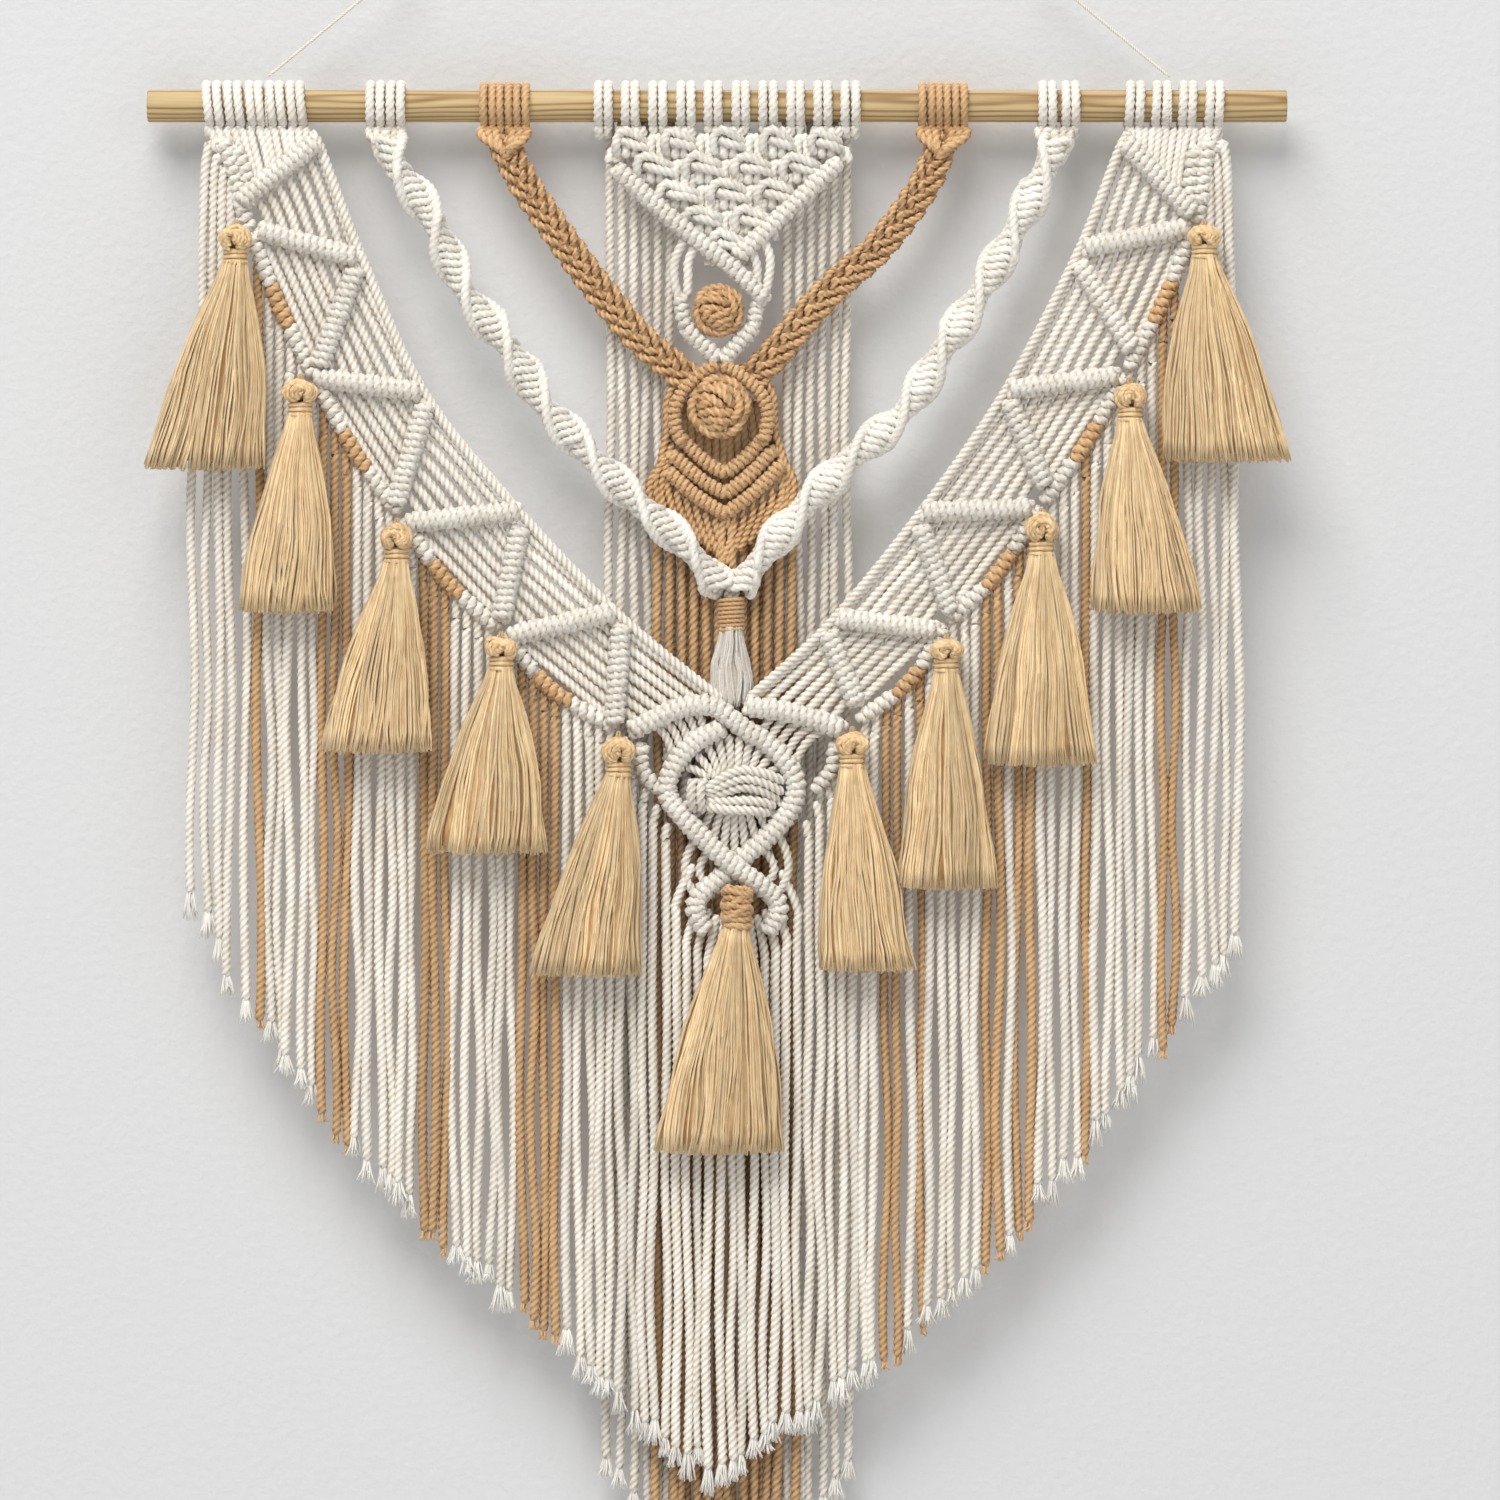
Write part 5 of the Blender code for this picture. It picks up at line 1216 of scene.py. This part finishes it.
# %% Lay the wrapped knot over the medallion
KNOT_SWEEPS = [[(-5.0, -274.6), (2.0, -269.6), (10.0, -266.4), (18.0, -267.6), (27.0, -271.0)],
               [(-5.0, -276.0), (2.6, -272.4), (10.6, -269.8), (18.6, -271.4), (26.4, -275.4)],
               [(-4.6, -277.4), (3.0, -275.4), (10.4, -273.4), (17.8, -274.8), (24.6, -278.4)],
               [(-4.8, -279.0), (4.0, -279.0), (12.0, -278.6), (19.6, -279.6), (23.0, -281.0)],
               [(-4.4, -281.0), (4.0, -282.2), (11.0, -282.4), (18.0, -283.0), (20.4, -284.0)]]
for k, points in enumerate(KNOT_SWEEPS):
    path = smooth(line(points, BAND_Y - 4.4 - (0.5, 0.0, -0.9, -0.4, 0.3)[k]))
    share = np.linspace(0.0, 1.0, len(path))
    path[:, 1] -= 1.2 * np.sin(share * math.pi) - 3.4 * share ** 6 - 1.4 * (1 - share) ** 6
    medallion.lay(path, 2.1, step=1.0)
for x in (-9.4, -5.8):
    spin = np.linspace(0.0, 2 * math.pi, 22)
    hoop = np.column_stack([x + 0.9 * np.sin(spin), BAND_Y - 3.6 + 3.0 * np.sin(spin),
                            -276.6 + 5.6 * np.cos(spin)])
    medallion.lay(hoop, 2.1, np.array([1.0, 0.0, 0.0]), step=1.0)
make_piece(medallion, "medallion_knots", ivory_cotton, "ivory_cord", "medallion")

# %% [markdown]
# ## Tassels
# A tassel is a bundle of thread that is folded over a loop, bound below it with a few turns, and cut level.
# The bundle is far too dense to show its inside, so a core in painted shade fills it, and a few hundred
# threads cover the core. The threads are gathered into locks that wave together, because silky thread
# clings: the gaps between the locks are what makes a skirt look like thread and not like a brush.

# %% Build a tassel
TASSEL_Y, SMALL_TASSEL_Y = -21.7, -6.0
TASSELS = [
    ("tassel_left_1", -192, -49.5, -63, -146.4, -228.4, -180.6),
    ("tassel_left_2", -166, -111, -124, -203.2, -191.6, -150.6),
    ("tassel_left_3", -127.6, -168.4, -182.4, -259.2, -157.6, -113),
    ("tassel_left_4", -86, -213.6, -225.2, -299.6, -116.4, -67.8),
    ("tassel_left_5", -39.2, -253.6, -267.4, -348.4, -74.4, -31),
    ("tassel_centre", 7.6, -314, -327.2, -419.2, -24.4, 26),
    ("tassel_right_5", 54, -251.6, -264, -346.4, 40.4, 78),
    ("tassel_right_4", 91.6, -214.4, -226, -313.6, 70.8, 112),
    ("tassel_right_3", 129.6, -164.4, -179.4, -264.4, 106.2, 151.6),
    ("tassel_right_2", 164.8, -112.4, -126, -203.6, 150.4, 193),
    ("tassel_right_1", 194.4, -49.6, -61, -143.2, 177.6, 227.6),
]
SMALL_TASSEL = ("tassel_small", 5.6, -197.8, -209, -241, -4.8, 14.4)
TASSEL_LOCKS, LOCK_THREADS, SKIRT_DEPTH, SKIRT_STEPS, NECK_BOUND = 24, 11, 7.6, 11, 3.4


def skirt_line(row, waist, depth):
    """The skirt's middle, half width and half depth, by how far down it is."""
    _, x, _, neck, hem, left, right = row
    bound = NECK_BOUND / (neck - hem)

    def shape(t):
        free = np.clip((t - bound) / (1 - bound), 0, 1)
        open_ = 0.3 * free + 0.7 * np.sin(free * math.pi / 2) ** 0.85
        middle = x + ((left + right) / 2 - x) * t
        wide = waist + ((right - left) / 2 - waist) * open_
        return middle, wide, waist + (depth - waist) * open_, neck + (hem - neck) * t
    return shape


def skirt(skein, row, y, waist, depth, locks, threads, radius, strength=1.0, shade=0.0):
    """A core in painted shade, and locks of waving threads over it."""
    shape = skirt_line(row, waist, depth)
    ring = np.linspace(0.0, 2 * math.pi, 25)[:-1]
    rings = []
    for t in np.linspace(0.0, 0.96, 9):
        middle, wide, deep, z = shape(t)
        rings.append(np.column_stack([middle + 0.82 * wide * np.cos(ring), y + 0.74 * deep * np.sin(ring),
                                      np.full(24, z)]))
    # The core is painted in shade.
    skein.add(np.array(rings)[:, ::-1], 0.7)
    t = np.linspace(0.0, 1.0, SKIRT_STEPS) ** 1.15
    middle, wide, deep, z = shape(t)
    for lock in range(locks):
        angle = 2 * math.pi * (lock + chance.uniform(-0.35, 0.35)) / locks
        phase, wave = chance.uniform(0, 2 * math.pi, 2), chance.uniform(2.0, 3.6, 2) * (1.0, 2.1)
        reach, tone, proud = chance.uniform(0.5, 1.4), chance.normal(0.0, 0.9), chance.uniform(0.82, 0.98)
        for _ in range(threads):
            own = angle + chance.normal(0.0, 0.1)
            near = proud + chance.uniform(-0.12, 0.06)
            late = chance.normal(0.0, 0.3)
            sway = strength * (t ** 0.8 * (reach * np.sin(t * wave[0] * math.pi + phase[0] + late)
                                           + 0.4 * np.sin(t * wave[1] * math.pi + phase[1] + 2 * late))
                               + chance.normal(0.0, 0.3) * t)
            cut = chance.normal(0.0, 0.6) - 0.9 * math.cos(own) ** 2
            path = np.column_stack([middle + wide * near * math.cos(own) + sway,
                                    y + deep * near * math.sin(own) + 0.6 * sway * math.cos(phase[0]),
                                    z - cut * t])
            # A negative shade darkens the threads' tone and adds painted shade to their flanks.
            skein.lay(path, radius * chance.uniform(0.7, 1.25), plies=0,
                      step=lengths(path)[-1] / SKIRT_STEPS,
                      tone=shade + tone + chance.normal(0.0, 0.8), pinch=0.8,
                      beside=-0.15 * shade, above=-0.5 * shade)


print(TASSEL_LOCKS * LOCK_THREADS, "threads to a tassel")

# %% Fold its head, bind its neck and hang them all
HEAD_WIDE, HEAD_DEEP, NECK, WRAP = 6.9, 5.8, 5.1, 1.25


def knob(skein, x, top, foot, y):
    """The head: thread folded round a small hole beside the middle, over a painted-shade core; the tie
    above.
    """
    high, way = (top - foot) / 2, chance.choice([-1, 1])
    middle = at(x, (top + foot) / 2, y)
    ring = np.linspace(0.0, 2 * math.pi, 17)[:-1]
    rings = [middle + np.column_stack([0.8 * HEAD_WIDE * reach * np.cos(ring),
                                       0.7 * HEAD_DEEP * reach * np.sin(ring),
                                       np.full(16, 0.8 * high * up)])
             for up, reach in ((u, math.sqrt(1 - u * u)) for u in np.linspace(-0.95, 0.95, 7))]
    # The core is painted in shade.
    skein.add(np.array(rings), 1.0)
    fold = np.radians(np.linspace(-78, 258, 26))
    for layer in (-1, 1):
        for share in np.linspace(0.22, 1.0, 6):
            size = share + chance.uniform(-0.03, 0.03)
            reach, rise = (HEAD_WIDE - 1.0) * size, (high - 0.6) * size
            shift = way * 2.0 * (1 - size)
            dome = math.sqrt(max(0.0, 1 - ((size - 0.5) / 0.62) ** 2))
            path = middle + np.column_stack([shift + reach * np.cos(fold),
                                             layer * HEAD_DEEP * dome * np.ones(26)
                                             + chance.normal(0.0, 0.15), rise * np.sin(fold)])
            path += np.outer(np.sin(fold * 3.0 + chance.uniform(0, 6.0)), chance.normal(0.0, 0.3, 3))
            skein.lay(path, 1.15, plies=2, lead=5.0, step=1.3, tone=chance.normal(0.9, 0.9), cut=0.16)
    for shift in (-0.8, 0.8):
        skein.lay(smooth(np.array([at(x + shift, top - 1.4, y - 1.2),
                                   at(x + 0.7 * shift, top + 1.0, y - 0.4),
                                   at(x + 0.4 * shift, top + 2.4, y + 4.8)])), 0.75, step=1.0, tone=-2.0)


def tassel(row, y=TASSEL_Y):
    name, x, top, neck = row[:4]
    bound = name == "tassel_centre"
    skein = Skein()
    skirt(skein, row, y, NECK - 0.4, SKIRT_DEPTH, TASSEL_LOCKS, LOCK_THREADS, 0.6)
    if not bound:
        knob(skein, x, top, neck + 3.4, y)
    angle = np.linspace(0.0, 2 * math.pi, 22)
    for turn in range(3):
        hoop = np.column_stack([x + (NECK - WRAP + 0.3) * np.cos(angle),
                                y + (NECK - WRAP + 0.3) * 0.94 * np.sin(angle),
                                neck + 3.2 - 2.1 * turn + 0.25 * np.cos(angle + turn)])
        # above adds painted shade where the turns touch.
        skein.lay(hoop, WRAP, np.array([0.0, 0.0, 1.0]), plies=2, lead=30.0, step=1.2, tone=1.0, pinch=1.0,
                  cut=0.08, above=0.3)
    make_piece(skein, name.replace("tassel", "thread_tassel"), tassel_thread, "tassel_thread", name)
    if bound:
        wrap = Skein()
        coil(wrap, smooth(line([(8.6, -313.2), (7.6, -321.0), (8.2, -329.4)], y)), 6.5, 5.6, 1.6, 2.7,
             cut=0.22, lean=0.8, uneven=0.08, above=0.4)
        coil(wrap, smooth(line([(7.8, -315.4), (8.2, -326.6)], y)), 6.9, 6.0, 1.6, 4.4, lean=-1.8,
             uneven=0.1, above=0.4)
        make_piece(wrap, "tassel_centre_binding", tan_cotton, "tan_cord", name)


for row in TASSELS:
    tassel(row)

# %% [markdown]
# ## The small tassel
# Where the spirals meet, their own cords are bound with tan cord, about eight close turns, and combed out
# below into a short ivory skirt.

# %% Bind the small tassel
small, wrap = Skein(), Skein()
# A shade of -2.5 darkens the ivory threads and gives their flanks painted shade.
skirt(small, SMALL_TASSEL, SMALL_TASSEL_Y, 4.6, 5.4, 17, 10, 0.68, 0.9, -2.5)
coil(wrap, line([(5.6, -197.0), (5.6, -210.6)], SMALL_TASSEL_Y), 5.6, 5.2, cord=1.0, pitch=1.7, uneven=0.01)
for x, foot in ((4.4, 4.8), (7.4, 6.8)):
    small.lay(line([(x, -194.0), (foot, -199.0)], SMALL_TASSEL_Y), 2.0)
make_piece(small, "small_tassel_skirt", ivory_cotton, "ivory_cord", "tassel_small")
make_piece(wrap, "small_tassel_binding", tan_cotton, "tan_cord", "tassel_small")

# %% [markdown]
# ## The room
# The hanging is shown on a pale plain wall, over a pale floor, in soft light from the upper left. The wall
# stands just behind the cords, because their soft shadows on it tell the eye how deep they hang. It is one
# sided, so that the back of the hanging can be looked at through it.

# %% Stand the wall and the floor, and light them
def plain(name, size, place, turn, tint, one_sided=False):
    """A large flat sheet of plain painted plaster."""
    recipe = Recipe(name, Roughness=0.95, Specular_IOR_Level=0.1, Base_Color=(*tint, 1.0))
    recipe.bump(recipe.noise(260.0, 4.0), 0.4, 0.0012)
    if one_sided:
        clear = recipe.node("BsdfTransparent", output="BSDF")
        facing_back = recipe.node("NewGeometry", output="Backfacing")
        mixed = recipe.node("MixShader", None,
                            {0: facing_back, 1: Wire(recipe, recipe.shader.outputs[0]), 2: clear})
        recipe.tree.links.new(mixed.socket, recipe.tree.nodes["Material Output"].inputs["Surface"])
    x, y = size[0] / 2, size[1] / 2
    mesh = bpy.data.meshes.new(name)
    mesh.from_pydata([(-x, -y, 0), (x, -y, 0), (x, y, 0), (-x, y, 0)], [], [(0, 1, 2, 3)])
    mesh.materials.append(recipe.material)
    sheet = bpy.data.objects.new(name, mesh)
    sheet.location, sheet.rotation_euler = place, turn
    bpy.context.collection.objects.link(sheet)
    return sheet


def lamp(name, place, aim, size, power, tint=(1.0, 1.0, 1.0)):
    """A large soft lamp that faces a point."""
    data = bpy.data.lights.new(name, "AREA")
    data.size, data.energy, data.color = size, power, tint
    made = bpy.data.objects.new(name, data)
    made.location = place
    made.rotation_euler = (made.location - Vector(aim)).to_track_quat("Z", "Y").to_euler()
    bpy.context.collection.objects.link(made)


WALL_Y, FLOOR_Z = 0.016, -1.25
wall = plain("wall", (7.0, 4.0), (0.0, WALL_Y, FLOOR_Z + 2.0), (math.pi / 2, 0.0, 0.0), (0.61, 0.61, 0.615),
             True)
wall.visible_shadow = False
plain("floor", (7.0, 7.0), (0.0, 0.0, FLOOR_Z), (0.0, 0.0, 0.0), (0.78, 0.78, 0.78))
AIM = (0.0, 0.0, -0.28)
lamp("key", (-0.95, -2.6, 3.1), AIM, 2.7, 195.0, (1.0, 0.985, 0.96))
lamp("fill", (1.9, -2.4, 0.6), AIM, 2.0, 10.0)
lamp("back", (0.6, 2.4, 0.9), AIM, 1.6, 40.0)
world = bpy.data.worlds.new("studio")
world.use_nodes = True
world.node_tree.nodes["Background"].inputs["Color"].default_value = (0.95, 0.975, 1.0, 1.0)
world.node_tree.nodes["Background"].inputs["Strength"].default_value = 0.45
bpy.context.scene.world = world
bpy.context.scene.view_settings.view_transform = "Standard"
print("wall", round(1000 * WALL_Y), "mm behind the dowel's axis")
